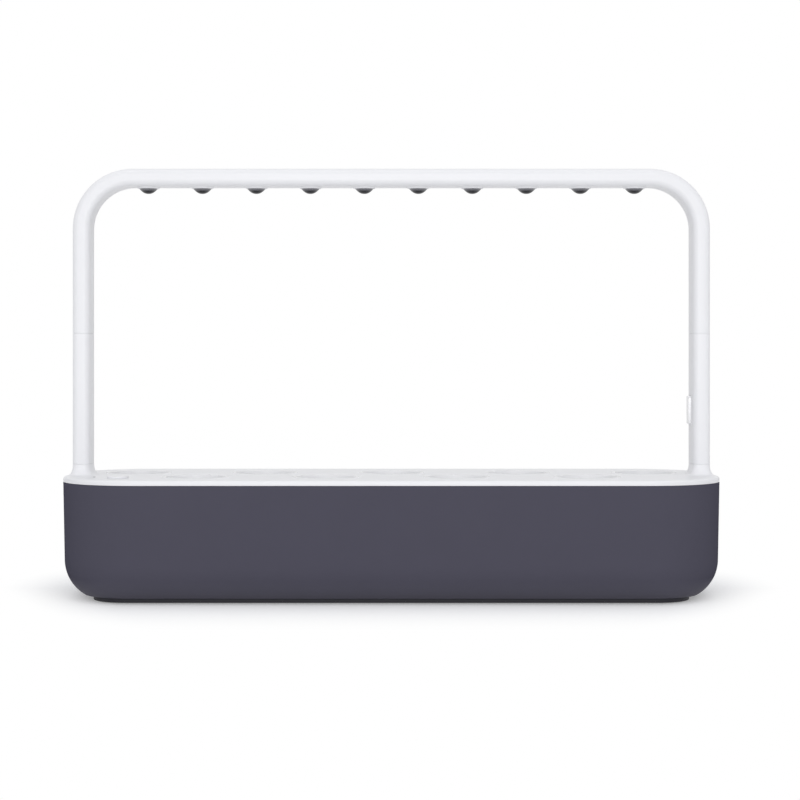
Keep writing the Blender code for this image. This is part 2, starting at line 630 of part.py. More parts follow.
def make_button():
    """The lamp's button: a pad that slides in the tube's window, kept in by its lip, and the switch that it
    presses."""
    middle = tube_foot + BUTTON_RISE
    inner_face = post_x - POST_ACROSS / 2
    lip_face = inner_face + POST_WALL + GAP
    lip_back = lip_face + BUTTON_LIP_THICKNESS
    half_y, half_z = BUTTON_WIDTH / 2, BUTTON_LENGTH / 2
    button = block("light_button", (inner_face - BUTTON_PROUD, BUTTON_BACK - half_y, middle - half_z),
                   (lip_back, BUTTON_BACK + half_y, middle + half_z), WHITE)
    half_y, half_z = half_y + BUTTON_LIP, half_z + BUTTON_LIP
    join(button, [block("button_lip", (lip_face, BUTTON_BACK - half_y, middle - half_z),
                        (lip_back, BUTTON_BACK + half_y, middle + half_z), None)])
    switch_face = lip_back + BUTTON_TRAVEL + SWITCH_REST_GAP
    rail_face = post_x + POST_ACROSS / 2 - POST_WALL - GAP - RAIL_THICKNESS
    block("button_switch", (switch_face, BUTTON_BACK - SWITCH_WIDTH / 2, middle - SWITCH_LENGTH / 2),
          (rail_face - GAP, BUTTON_BACK + SWITCH_WIDTH / 2, middle + SWITCH_LENGTH / 2), CONTACT)


def arch_stations():
    """Places along the arch's centre line, from the left foot over the bar to the right foot:
    (x, z) and the unit vector that points out of the arch there."""
    stations = [(-post_x, arch_foot, -1.0, 0.0)]
    for side, first in ((-1, 1.0), (1, 0.5)):
        for step in range(ELBOW_STEPS + 1):
            angle = (first - step / ELBOW_STEPS / 2) * pi
            stations.append((side * elbow_x + ELBOW_RADIUS * cos(angle), elbow_z + ELBOW_RADIUS * sin(angle),
                             cos(angle), sin(angle)))
    stations.append((post_x, arch_foot, 1.0, 0.0))
    return stations


def swept(name, section, material):
    """Carries a closed section of (outward, y) points along the arch and caps both feet."""
    bm = bmesh.new()
    rows = [[bm.verts.new((x + out * out_x, y, z + out * out_z)) for out, y in section]
            for x, z, out_x, out_z in arch_stations()]
    count = len(section)
    for first, second in zip(rows, rows[1:]):
        for i in range(count):
            j = (i + 1) % count
            bm.faces.new((first[i], first[j], second[j], second[i]))
    bm.faces.new(rows[0])
    bm.faces.new(rows[-1])
    return link(name, bm, material)


def channel_section():
    """The arch's section: a post's outline with a wall, open along the side that faces inwards."""
    def open_outline(inset):
        half = POST_ACROSS / 2 - inset
        outline = post_outline(inset)
        first_inner = 2 * (POST_STEPS + 1)
        around = outline[first_inner:] + outline[:first_inner]
        return [(-half, -slot_half)] + around + [(-half, slot_half)]
    return open_outline(0) + open_outline(POST_WALL)[::-1]


def lens_places():
    span = elbow_x - LENS_END_MARGIN
    return [span * (2 * i / (LENSES - 1) - 1) for i in range(LENSES)]


def make_arch(lamp_screws, screw_tip):
    """The lamp's arch and the cover strip that closes it, with a bezel round each lens."""
    arch = swept("lamp_arch", channel_section(), WHITE)
    ceiling = bar_top - POST_WALL
    post_low = screw_tip - LAMP_SCREW_BITE
    join(arch, [rod(f"lamp_post_{i}", LAMP_POST_RADIUS, post_low, ceiling + POST_WALL / 2, at=(x, 0))
                for i, x in enumerate(lamp_screws)])
    cut(arch, [rod(f"lamp_post_hole_{i}", SCREW_RADIUS + SCREW_CLEARANCE, post_low - OVERRUN,
                   screw_tip + GAP, at=(x, 0)) for i, x in enumerate(lamp_screws)])

    half = slot_half - GAP
    outer, inner = -POST_ACROSS / 2, POST_WALL - POST_ACROSS / 2
    cover = swept("lamp_cover", [(outer, -half), (outer, half), (inner, half), (inner, -half)], WHITE)
    root = half - BEZEL_MARGIN
    tip = LENS_RADIUS + GAP + BEZEL_WALL
    profile = ((0, bar_under + POST_WALL / 2), (root, bar_under + POST_WALL / 2), (root, bar_under),
               (tip, bar_under - BEZEL_HEIGHT), (0, bar_under - BEZEL_HEIGHT))
    join(cover, [turned(f"bezel_{i}", profile, None, (x, 0, 0)) for i, x in enumerate(lens_places())])
    cut(cover, [rod(f"lens_hole_{i}", LENS_RADIUS + GAP, bar_under - BEZEL_HEIGHT - OVERRUN,
                    bar_under + POST_WALL + OVERRUN, sides=ROUND, at=(x, 0))
                for i, x in enumerate(lens_places())])


def make_lamp(driver_foot):
    """The light engine: lenses held in the cover, an LED board, a heat spreader, screws, the driver
    board in the right-hand leg and the lead between them."""
    cover_top = bar_under + POST_WALL
    flange_low = cover_top + GAP
    flange_top = flange_low + LENS_FLANGE
    dome_top = bar_under - BEZEL_HEIGHT
    dome = dome_top - (bar_under - LENS_DROP)
    profile = [(0, flange_top - LENS_RECESS), (LENS_RECESS_RADIUS, flange_top - LENS_RECESS),
               (LENS_RECESS_RADIUS, flange_top), (LENS_FLANGE_RADIUS, flange_top),
               (LENS_FLANGE_RADIUS, flange_low), (LENS_RADIUS, flange_low), (LENS_RADIUS, dome_top)]
    profile += [(LENS_RADIUS * across, dome_top - dome * down) for across, down in LENS_DOME_SHARES]
    profile.append((0, dome_top - dome))
    for i, x in enumerate(lens_places()):
        turned(f"led_lens_{i + 1}", profile, SMOKED, (x, 0, 0), SMALL_ROUND)

    board_low = flange_top + GAP
    board_top = board_low + BOARD_THICKNESS
    spreader_low = board_top + GAP
    spreader_top = spreader_low + SPREADER_THICKNESS
    end = lens_places()[-1] + BOARD_END_MARGIN
    board = block("led_board", (-end, -BOARD_WIDTH / 2, board_low), (end, BOARD_WIDTH / 2, board_top), BOARD)
    chip = CHIP_SIZE / 2
    join(board, [block(f"chip_{i}", (x - chip, -chip, board_low - CHIP_HEIGHT),
                       (x + chip, chip, board_low + BOARD_THICKNESS / 2), None)
                 for i, x in enumerate(lens_places())])
    spreader = block("heat_spreader", (-end, -SPREADER_WIDTH / 2, spreader_low),
                     (end, SPREADER_WIDTH / 2, spreader_top), ALUMINIUM)

    places = lens_places()
    lamp_screws = [(places[i] + places[i + 1]) / 2 for i in (1, (LENSES - 1) // 2, LENSES - 3)]
    hole = SCREW_RADIUS + SCREW_CLEARANCE
    for body, low, high in ((board, board_low, board_top), (spreader, spreader_low, spreader_top)):
        cut(body, [rod(f"{body.name}_hole_{i}", hole, low - OVERRUN, high + OVERRUN, at=(x, 0))
                   for i, x in enumerate(lamp_screws)])
    screw_tip = spreader_top + GAP + LAMP_SCREW_BITE
    for i, x in enumerate(lamp_screws):
        screw(f"lamp_screw_{i + 1}", board_low - GAP, screw_tip, (x, 0))
    make_arch(lamp_screws, screw_tip)

    driver_low = driver_foot + GAP
    driver_high = driver_low + DRIVER_LENGTH
    half = DRIVER_WIDTH / 2
    driver = block("driver_board", (post_x - DRIVER_THICKNESS / 2, -half, driver_low),
                   (post_x + DRIVER_THICKNESS / 2, half, driver_high), DRIVER)
    part = DRIVER_PARTS_HEIGHT
    end_clear = DRIVER_LENGTH / 5
    join(driver, [block("driver_parts", (post_x, -half / 2, driver_low + end_clear),
                        (post_x + DRIVER_THICKNESS / 2 + part, half / 2, driver_high - end_clear), None)])
    make_lead(driver_high + GAP, end + GAP, (spreader_low + spreader_top) / 2)


def make_lead(low, end_x, end_z):
    """The two-core lead from the driver board round the right-hand elbow to the LED board's end."""
    points = [(post_x, low)]
    for step in range(ELBOW_STEPS + 1):
        angle = step / ELBOW_STEPS * pi / 2
        points.append((elbow_x + ELBOW_RADIUS * cos(angle),
                       elbow_z + (end_z - elbow_z) * sin(angle)))
    points.append((end_x, end_z))
    data = bpy.data.curves.new("lamp_lead", "CURVE")
    data.dimensions = "3D"
    data.bevel_depth = LEAD_RADIUS
    data.bevel_resolution = 2
    data.use_fill_caps = True
    spline = data.splines.new("POLY")
    spline.points.add(len(points) - 1)
    for point, (x, z) in zip(spline.points, points):
        point.co = (x, 0, z, 1)
    data.materials.append(LEAD)
    obj = bpy.data.objects.new("lamp_lead", data)
    bpy.context.scene.collection.objects.link(obj)


make_tank()
make_plinth()
make_lid()
make_vent_plug()
make_cups()
make_float()
make_inlet()
driver_seat = make_contacts()
make_extensions()
make_button()
make_lamp(driver_seat)
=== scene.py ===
from math import pi, radians, sin

import bmesh
import bpy
import numpy as np
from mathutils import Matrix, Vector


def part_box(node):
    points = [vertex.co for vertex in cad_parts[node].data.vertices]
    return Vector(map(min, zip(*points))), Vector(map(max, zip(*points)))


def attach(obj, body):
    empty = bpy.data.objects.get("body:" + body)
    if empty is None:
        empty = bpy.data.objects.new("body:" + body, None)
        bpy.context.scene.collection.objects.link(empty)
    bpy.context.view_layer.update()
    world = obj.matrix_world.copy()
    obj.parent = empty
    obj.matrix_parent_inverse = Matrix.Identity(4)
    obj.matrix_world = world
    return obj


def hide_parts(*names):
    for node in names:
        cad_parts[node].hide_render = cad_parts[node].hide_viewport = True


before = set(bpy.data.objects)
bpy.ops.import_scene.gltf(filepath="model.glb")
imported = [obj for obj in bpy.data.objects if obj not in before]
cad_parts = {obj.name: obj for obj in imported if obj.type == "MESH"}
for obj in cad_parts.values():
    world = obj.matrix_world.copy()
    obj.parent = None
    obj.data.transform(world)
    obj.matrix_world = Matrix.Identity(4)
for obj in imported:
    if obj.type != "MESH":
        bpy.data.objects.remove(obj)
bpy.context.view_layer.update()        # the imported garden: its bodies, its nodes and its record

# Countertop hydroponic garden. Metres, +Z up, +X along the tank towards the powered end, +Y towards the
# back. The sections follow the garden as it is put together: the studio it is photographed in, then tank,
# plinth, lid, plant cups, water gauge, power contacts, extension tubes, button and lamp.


# Studio. A white table top that runs into a white background, under one wide soft lamp above, a
# fill in front and a faint glow all round. The camera looks level along +Y from counter height.
EYE_DISTANCE = 1.900
EYE_HEIGHT = 0.229
LENS_LENGTH, SENSOR_WIDTH = 90.66, 36.0
RISE = -0.0605                  # the frame's shift, so that a level camera still holds the whole garden
SIDESTEP = 0.0108
TABLE_HALF, TABLE_POINTS = 9.0, 9
TABLE_PAINT = 0.90              # the white that throws light back at the garden
SHADOW_CORE = (0.300, 0.085)    # half sizes of the patch under the garden, beyond which the shading fades
SHADOW_REACH = 0.17             # and where it has gone, in front and behind
SHADOW_STRETCH = 2.0            # how much sooner it goes at the ends
SHADOW_LEAN = (-0.4, 0.02)      # the ends draw in towards the front, by the first times Y plus the second
SHADOW_SHARE = 0.85             # how much of the table's light is left to the lamps, near the garden
SHADOW_BLUE = 1.01              # the shading's slight lean to blue
OPEN_LIGHT = 0.9                # how bright the lamps leave the open table, which its own white fills up
WHITE_LIGHT = (1, 1, 1, 1)
GLOW_COLOUR = (0.97, 0.98, 1.0, 1)
GLOW_RANGE = (1.0, 0.54)        # of the room's own light, from the camera's side to the far side
SIDE_LOSS = 0.42                # of it, towards either end

camera_data = bpy.data.cameras.new("camera")
camera_data.lens = LENS_LENGTH
camera_data.sensor_width = SENSOR_WIDTH
camera_data.shift_x = SIDESTEP
camera_data.shift_y = RISE
camera = bpy.data.objects.new("camera", camera_data)
camera.location = (0, -EYE_DISTANCE, EYE_HEIGHT)
camera.rotation_euler = (pi / 2, 0, 0)
bpy.context.scene.collection.objects.link(camera)
bpy.context.scene.camera = camera
bpy.context.scene.view_settings.view_transform = "Standard"


def feed(tree, socket, value):
    """Joins another node's output on to the socket, or sets the socket to a plain value."""
    if isinstance(value, bpy.types.NodeSocket):
        tree.links.new(value, socket)
    else:
        socket.default_value = value


def node(tree, kind, *first, **named):
    """One shader node. A named value feeds the input of that name, or else is a setting of the node; the
    unnamed ones feed its first inputs in turn."""
    made = tree.nodes.new(kind)
    for key, value in named.items():
        label = key.replace("_", " ").title().replace("Ior", "IOR")
        if label in made.inputs:
            feed(tree, made.inputs[label], value)
        else:
            setattr(made, key, value)
    for socket, value in zip(made.inputs, first):
        feed(tree, socket, value)
    return made


def scalar(tree, operation, *values):
    """A number worked out from others."""
    return node(tree, "ShaderNodeMath", *values, operation=operation).outputs[0]


def vector(tree, operation, *values):
    """A vector worked out from others."""
    return node(tree, "ShaderNodeVectorMath", *values, operation=operation).outputs[0]


def spread(tree, value, low, high, new_low, new_high, **settings):
    """Maps one range of a value on to another, and holds it within that."""
    return node(tree, "ShaderNodeMapRange", value, low, high, new_low, new_high, **settings).outputs[0]


def blend(tree, share, first, second):
    """A colour between two, by the share."""
    mix = node(tree, "ShaderNodeMix", data_type="RGBA", factor=share, a=(*first, 1), b=(*second, 1))
    return mix.outputs["Result"]


def noise(tree, place, scale, detail, roughness=0.5):
    """Cloudy noise, with so many waves a metre."""
    return node(tree, "ShaderNodeTexNoise", vector=place, scale=scale, detail=detail,
                roughness=roughness).outputs[0]


def new_material(name):
    """An empty node material, its node tree, and the output that tells where a point of its object lies."""
    material = bpy.data.materials.new(name)
    material.use_nodes = True
    tree = material.node_tree
    tree.nodes.clear()
    return material, tree, node(tree, "ShaderNodeTexCoord").outputs["Object"]


def surface(tree, **inputs):
    """Ends a material in a principled skin with these inputs."""
    skin = node(tree, "ShaderNodeBsdfPrincipled", **inputs)
    node(tree, "ShaderNodeOutputMaterial", surface=skin.outputs[0])


def seen_as_background(tree):
    """1 for rays from the camera and for mirrored and refracted ones, 0 for rays that carry light to a
    surface."""
    rays = node(tree, "ShaderNodeLightPath").outputs
    direct = scalar(tree, "MAXIMUM", rays["Is Camera Ray"], rays["Is Glossy Ray"])
    return scalar(tree, "MAXIMUM", direct, rays["Is Transmission Ray"])


def table_finish():
    """Matt white. To the lamps it is plain pale paint; to the eye part of its white is its own, so that the
    garden's shadow stays soft, and that part grows to all of it with distance."""
    material, tree, place = new_material("table_white")
    flat = vector(tree, "MULTIPLY", place, (1, 1, 0))
    beyond = vector(tree, "SUBTRACT", vector(tree, "ABSOLUTE", flat), (*SHADOW_CORE, 0))
    along_y = node(tree, "ShaderNodeSeparateXYZ", flat).outputs["Y"]
    drawn = scalar(tree, "MAXIMUM", scalar(tree, "MULTIPLY_ADD", along_y, *SHADOW_LEAN), 0)
    sideways = node(tree, "ShaderNodeCombineXYZ", drawn).outputs[0]
    outside = vector(tree, "MAXIMUM", vector(tree, "ADD", beyond, sideways))
    stretched = vector(tree, "MULTIPLY", outside, (SHADOW_STRETCH, 1, 1))
    away = node(tree, "ShaderNodeVectorMath", stretched, operation="LENGTH").outputs["Value"]
    fade = spread(tree, away, 0, SHADOW_REACH, 0, 1, interpolation_type="SMOOTHSTEP")
    lit_white = node(tree, "ShaderNodeBsdfDiffuse",
                     color=(SHADOW_SHARE, SHADOW_SHARE, SHADOW_SHARE * SHADOW_BLUE, 1))
    own_white = node(tree, "ShaderNodeEmission", color=WHITE_LIGHT, strength=1 - SHADOW_SHARE * OPEN_LIGHT)
    near = node(tree, "ShaderNodeAddShader", lit_white.outputs[0], own_white.outputs[0])
    far = node(tree, "ShaderNodeEmission", color=WHITE_LIGHT, strength=1.0)
    to_eye = node(tree, "ShaderNodeMixShader", fade, near.outputs[0], far.outputs[0])
    paint = node(tree, "ShaderNodeBsdfDiffuse", color=(TABLE_PAINT, TABLE_PAINT, TABLE_PAINT, 1))
    whole = node(tree, "ShaderNodeMixShader", seen_as_background(tree), paint.outputs[0], to_eye.outputs[0])
    node(tree, "ShaderNodeOutputMaterial", surface=whole.outputs[0])
    return material


def grid_faces(rows, columns, around_rows=False, around_columns=True):
    """Quads of a grid of points stored row by row: a corner's index is its row times the columns plus its
    column."""
    row = np.arange(rows if around_rows else rows - 1)[:, None]
    column = np.arange(columns if around_columns else columns - 1)[None, :]
    here, above = row * columns, (row + 1) % rows * columns
    right = (column + 1) % columns
    return np.stack([here + column, here + right, above + right, above + column], -1).reshape(-1, 4)


def put(obj):
    """Adds an object to the scene and hands it back."""
    bpy.context.scene.collection.objects.link(obj)
    return obj


table_steps = np.linspace(-TABLE_HALF, TABLE_HALF, TABLE_POINTS)
table_x, table_y = np.meshgrid(table_steps, table_steps)
table_mesh = bpy.data.meshes.new("table")
table_mesh.from_pydata(np.dstack([table_x, table_y, 0 * table_x]).reshape(-1, 3).tolist(), [],
                       grid_faces(TABLE_POINTS, TABLE_POINTS, around_columns=False).tolist())
table_mesh.materials.append(table_finish())
table = put(bpy.data.objects.new("table", table_mesh))


def soft_lamp(name, place, aim, width, height, power):
    """A rectangular soft box at place that faces aim."""
    data = bpy.data.lights.new(name, "AREA")
    data.shape = "RECTANGLE"
    data.size, data.size_y, data.energy = width, height, power
    lamp = put(bpy.data.objects.new(name, data))
    lamp.location = place
    toward = np.subtract(aim, place)
    lamp.rotation_euler = (np.arctan2(np.hypot(*toward[:2]), -toward[2]), 0,
                           np.arctan2(toward[0], -toward[1]) + pi)
    lamp.visible_camera = False


soft_lamp("lamp_above", place=(0, -0.2, 2.6), aim=(0, 0, 0.15), width=3.2, height=1.9, power=9.0)
soft_lamp("lamp_front", place=(0, -3.0, 0.5), aim=(0, 0, 0.2), width=1.3, height=1.0, power=20.5)

world = bpy.data.worlds.new("white_room")
bpy.context.scene.world = world
world.use_nodes = True
room = world.node_tree
room.nodes.clear()
way = node(room, "ShaderNodeSeparateXYZ", node(room, "ShaderNodeTexCoord").outputs["Object"]).outputs
in_depth = spread(room, way["Y"], -1, 1, *GLOW_RANGE)
to_the_side = scalar(room, "MULTIPLY_ADD", scalar(room, "MULTIPLY", way["X"], way["X"]), -SIDE_LOSS, 1.0)
glow = node(room, "ShaderNodeBackground", color=GLOW_COLOUR,
            strength=scalar(room, "MULTIPLY", in_depth, to_the_side))
backdrop = node(room, "ShaderNodeBackground", color=WHITE_LIGHT, strength=1.0)
both = node(room, "ShaderNodeMixShader", seen_as_background(room), glow.outputs[0], backdrop.outputs[0])
node(room, "ShaderNodeOutputWorld", surface=both.outputs[0])


# Water tank. A deep tub with broad rounded ends, whose sides lean in a little and turn under in a
# full soft heel. Injection-moulded in slate-grey plastic with a fine satin grain, open at the top.
tank_low, tank_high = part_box("water_tank")
TANK_CORNER = 0.074
TANK_WALL = 0.0028
SIDE_LEAN_SHARE = 0.019
HEEL_ACROSS, HEEL_UP = 0.034, 0.036
HEEL_TURN_SHARE = 0.68           # of a quarter turn, where the flat underside cuts the heel off
HEEL_END_SHARE = 0.10            # of the heel's draw, added at the two ends
HEEL_CORNER_SHARE = 1.4          # of it, taken off the corners' radius
TANK_EDGE = 0.0007
RIM_DEPTH, RIM_LEAN = 0.004, 0.0001
SCREW_X, SCREW_Y = 0.150, 0.030  # of the plinth's screws
BROAD_STEPS, TUBE_STEPS, SMALL_STEPS = 22, 14, 8    # in a corner of tank or lid, of a lamp tube, of a slot
EASE_SHARE = 0.45                # of a side that one end's ease may take at most
MERGE_REACH, SPECK = 2e-6, 1e-7  # nearer points become one, and shorter edges go
TINY = 1e-9                      # the least length of a side, which is divided by
FLAT_SHARE = 0.999999            # of a level face's normal that points up or down
RIM_DIGITS = 5                   # to which the heights of one flat rim agree


def rounded_path(half_x, half_y, radius, steps):
    """A rectangle with rounded corners, anticlockwise, with its outward normals. In each corner the normal
    swings a quarter turn, and the point is the corner's own centre plus the radius along the normal."""
    swing = (np.arange(4)[:, None] + np.linspace(0, 1, steps + 1)) * pi / 2
    normal = np.stack([np.cos(swing), np.sin(swing)], -1)
    centre = np.stack([np.array([1, -1, -1, 1]) * (half_x - radius),
                       np.array([1, 1, -1, -1]) * (half_y - radius)], -1)
    return (centre[:, None] + radius * normal).reshape(-1, 2), normal.reshape(-1, 2)


def carried(path, profile, at=(0, 0)):
    """A profile of (inset, height) carried round a path: each point is the path's own, drawn in along its
    normal by the inset, and lifted to the height."""
    points, normals = path
    inset, height = np.asarray(profile, float).T
    flat = points[None] - inset[:, None, None] * normals[None] + np.asarray(at, float)
    return np.dstack([flat, np.broadcast_to(height[:, None], flat.shape[:2])])


def quarter(start, end, steps, hollow=False):
    """A quarter of an ellipse from start to end, both (inset, height). It leaves start along the height and
    meets end along the inset; where hollow it does the opposite. Sine and one less cosine share out the two
    ways."""
    turn = np.linspace(0, pi / 2, steps + 1)
    first, second = (1 - np.cos(turn), np.sin(turn)) if not hollow else (np.sin(turn), 1 - np.cos(turn))
    return np.stack([start[0] + (end[0] - start[0]) * first, start[1] + (end[1] - start[1]) * second], -1)


def eased(profile, ease, steps=4, loop=False):
    """Softens a profile's corners: each gives way to a parabola that begins its ease before the corner and
    ends as far after it, or a little under half a side away where the side is short."""
    corner = np.asarray(profile, float)
    ease = np.broadcast_to(ease, len(corner))
    back, on = np.roll(corner, 1, 0) - corner, np.roll(corner, -1, 0) - corner
    back_length = np.maximum(np.linalg.norm(back, axis=1), TINY)
    on_length = np.maximum(np.linalg.norm(on, axis=1), TINY)
    start = corner + back * (np.minimum(ease, EASE_SHARE * back_length) / back_length)[:, None]
    end = corner + on * (np.minimum(ease, EASE_SHARE * on_length) / on_length)[:, None]
    share = np.linspace(0, 1, steps + 1)[None, :, None]
    bend = ((1 - share) ** 2 * start[:, None] + 2 * share * (1 - share) * corner[:, None]
            + share ** 2 * end[:, None]).reshape(-1, 2)
    if loop:
        return bend
    return np.vstack([corner[:1], bend[steps + 1:-steps - 1], corner[-1:]])


def merge_points(shape):
    """Makes one of doubled points, and drops faces of no area."""
    bmesh.ops.remove_doubles(shape, verts=shape.verts, dist=MERGE_REACH)
    bmesh.ops.dissolve_degenerate(shape, edges=shape.edges, dist=SPECK)


def crisp_edges(shape, crease):
    """Every face is smooth to the light. An edge stays sharp where its two faces meet at more than the
    crease, or where one of them lies dead level and the other doesn't, so that flats stay flat."""
    for face in shape.faces:
        face.smooth = True
    for edge in shape.edges:
        if len(edge.link_faces) == 2:
            levels = [abs(face.normal.z) > FLAT_SHARE for face in edge.link_faces]
            edge.smooth = levels[0] == levels[1] and edge.calc_face_angle(0) < radians(crease)


def moulding(name, strips, material, crease=14.0, loops=False, lay=None):
    """One closed body of strips of points, each strip an array (rows, columns, 3) whose columns run round.
    Doubled points merge, so a row of no radius becomes a pole. Open rims that lie at one height are filled
    flat together, which leaves a hole where a rim lies inside another. Last, lay turns the upright points
    to where the piece is."""
    firsts = np.cumsum([0] + [strip.shape[0] * strip.shape[1] for strip in strips])
    faces = [grid_faces(strip.shape[0], strip.shape[1], around_rows=loops) + first
             for strip, first in zip(strips, firsts)]
    mesh = bpy.data.meshes.new(name)
    mesh.from_pydata(np.vstack([strip.reshape(-1, 3) for strip in strips]).tolist(), [],
                     np.vstack(faces).tolist())
    shape = bmesh.new()
    shape.from_mesh(mesh)
    merge_points(shape)
    rims = {}
    for edge in shape.edges:
        if edge.is_boundary:
            height = (edge.verts[0].co.z + edge.verts[1].co.z) / 2
            rims.setdefault(round(height, RIM_DIGITS), []).append(edge)
    for rim in rims.values():
        bmesh.ops.triangle_fill(shape, edges=rim, use_beauty=True)
    bmesh.ops.recalc_face_normals(shape, faces=shape.faces)
    crisp_edges(shape, crease)
    shape.to_mesh(mesh)
    shape.free()
    if lay:
        points = np.empty(3 * len(mesh.vertices))
        mesh.vertices.foreach_get("co", points)
        mesh.vertices.foreach_set("co", lay(points.reshape(-1, 3)).ravel())
        mesh.update()
    mesh.materials.append(material)
    return put(bpy.data.objects.new(name, mesh))


CLOUD_WAVES, CLOUD_SPREAD = 22.0, 0.05    # the clouds in moulded plastic, and how far its roughness wanders


def moulded_finish(name, colour, roughness, grain, grain_size, mottle=0.03, gloss=0.5):
    """Moulded plastic: a nearly even colour that clouds by the mottle over a few centimetres, a roughness
    that wanders with it, and the tool's fine grain as a bump whose cells are grain_size across."""
    material, tree, place = new_material(name)
    cloud = noise(tree, place, CLOUD_WAVES, detail=4.0, roughness=0.55)
    cells = noise(tree, place, 1 / grain_size, detail=3.0, roughness=0.6)
    bump = node(tree, "ShaderNodeBump", strength=grain, distance=grain_size / 4, height=cells)
    surface(tree, specular_ior_level=gloss, normal=bump.outputs[0],
            base_color=blend(tree, cloud, [channel * (1 - mottle) for channel in colour],
                             [min(channel * (1 + mottle), 1) for channel in colour]),
            roughness=spread(tree, cloud, 0, 1, roughness - CLOUD_SPREAD, roughness + CLOUD_SPREAD))
    return material


def polished_below(material, foot, head, gloss, roughness):
    """Adds a clear polish that is full at the foot's height and gone at the head's."""
    tree = material.node_tree
    place = node(tree, "ShaderNodeTexCoord").outputs["Object"]
    height = node(tree, "ShaderNodeSeparateXYZ", place).outputs["Z"]
    skin = next(each for each in tree.nodes if each.type == "BSDF_PRINCIPLED")
    feed(tree, skin.inputs["Coat Weight"], spread(tree, height, foot, head, gloss, 0))
    feed(tree, skin.inputs["Coat Roughness"], roughness)


POLISH, POLISH_ROUGHNESS, POLISH_TOP = 0.60, 0.48, 0.022    # of the heel, which shines more than the sides
SLATE = moulded_finish("slate_satin", (0.080, 0.077, 0.103),
                       roughness=0.48, grain=0.30, grain_size=0.0005, gloss=0.0)
polished_below(SLATE, tank_low.z, POLISH_TOP, POLISH, POLISH_ROUGHNESS)


def stands_for(piece, body, slot, *nodes):
    """The piece rides on its body and takes the place of its nodes. Its slot is not used."""
    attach(piece, body)
    if nodes:
        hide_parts(*nodes)


heel_head = tank_low.z + HEEL_UP * sin(HEEL_TURN_SHARE * pi / 2)
side_inset = SIDE_LEAN_SHARE * (tank_high.z - heel_head)


def heel_profile(wall, steps=16):
    """Up the heel of the skin that lies wall inside the outer one, as (inset, draw, height): through the
    turn, the draw shrinks with the cosine and the height climbs with the sine."""
    turn = np.linspace(HEEL_TURN_SHARE, 0, steps + 1) * pi / 2
    return np.stack([0 * turn + side_inset + wall, (HEEL_ACROSS - wall) * (1 - np.cos(turn)),
                     heel_head - (HEEL_UP - wall) * np.sin(turn)], -1)


def tub_skin(profile):
    """Rows round the tub, one for each (inset, draw, height): the rim's outline drawn in by the inset, and
    then by the draw, a little more at the ends, while its corners tighten."""
    rows = []
    for inset, draw, height in profile:
        flat, _ = rounded_path(tank_high.x - inset - draw * (1 + HEEL_END_SHARE), tank_high.y - inset - draw,
                               TANK_CORNER - inset - draw * HEEL_CORNER_SHARE, BROAD_STEPS)
        rows.append(np.column_stack([flat, np.full(len(flat), height)]))
    return np.stack(rows)


tank_rim = eased([(RIM_LEAN, tank_high.z - RIM_DEPTH), (0, tank_high.z), (TANK_WALL, tank_high.z),
                  (TANK_WALL + RIM_LEAN, tank_high.z - RIM_DEPTH)], TANK_EDGE)
tank_profile = np.vstack([heel_profile(0), np.insert(tank_rim, 1, 0, axis=1), heel_profile(TANK_WALL)[::-1]])
tank = moulding("tank_tub", [tub_skin(tank_profile)], SLATE, crease=9.0)
stands_for(tank, "tank", "tank_slate", "water_tank")

POST_RADIUS, POST_RISE, POST_SPREAD = 0.0045, 0.0083, 0.0016
POST_ROOT, POST_DRAFT, POST_EDGE = 0.001, 0.0001, 0.0006


def turned(profile, at=(0, 0), sides=64):
    """A (radius, height) profile spun about an upright axis: the circle's cosine and sine times the
    radius."""
    circle = np.linspace(0, 2 * pi, sides, endpoint=False)
    radius, height = np.asarray(profile, float).T
    return np.dstack([at[0] + np.outer(radius, np.cos(circle)), at[1] + np.outer(radius, np.sin(circle)),
                      np.broadcast_to(height[:, None], (len(radius), sides))])


inner_floor = heel_profile(TANK_WALL)[0, 2]
post_profile = np.vstack([
    [(0, inner_floor - POST_ROOT), (POST_RADIUS + POST_SPREAD, inner_floor - POST_ROOT)],
    quarter((POST_RADIUS + POST_SPREAD, inner_floor), (POST_RADIUS, inner_floor + POST_SPREAD),
            steps=6, hollow=True),
    eased([(POST_RADIUS, inner_floor + POST_SPREAD), (POST_RADIUS - POST_DRAFT, inner_floor + POST_RISE),
           (0, inner_floor + POST_RISE)], POST_EDGE)[1:]])
screw_places = [(side_x * SCREW_X, side_y * SCREW_Y) for side_y in (-1, 1) for side_x in (-1, 1)]
tank_posts = moulding("tank_screw_posts", [turned(post_profile, at, sides=32) for at in screw_places], SLATE)
stands_for(tank_posts, "tank", "tank_slate")


# Plinth. A shallow black tray with its rim down, set in under the tank, that makes the dark shadow
# line there. Moulded plastic, held by four screws, on four rubber feet.
plinth_low, plinth_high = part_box("base_plinth")
PLINTH_WALL, PLINTH_TOP, PLINTH_CORNER, PLINTH_EDGE = 0.0025, 0.0016, 0.034, 0.0005
PLATE_REACH = 0.02               # of the plate's rows, in from the rim to where its flat fill begins
CORNERS = ("front_left", "front_right", "back_left", "back_right")
FOOT_RADIUS, FOOT_EDGE = 0.009, 0.0004
GROOVE_OUT, GROOVE_IN, GROOVE_BANK, GROOVE_DEPTH = 0.0014, 0.0026, 0.0002, 0.0004
SCREW_RADIUS, SCREW_HEAD_RADIUS, SCREW_HEAD = 0.0014, 0.003, 0.0014
CROWN_SHARE, CROWN_ROWS = 0.55, 15
RECESS_WIDTH, RECESS_DEPTH, RECESS_REACH = 0.00062, 0.0009, 0.0018

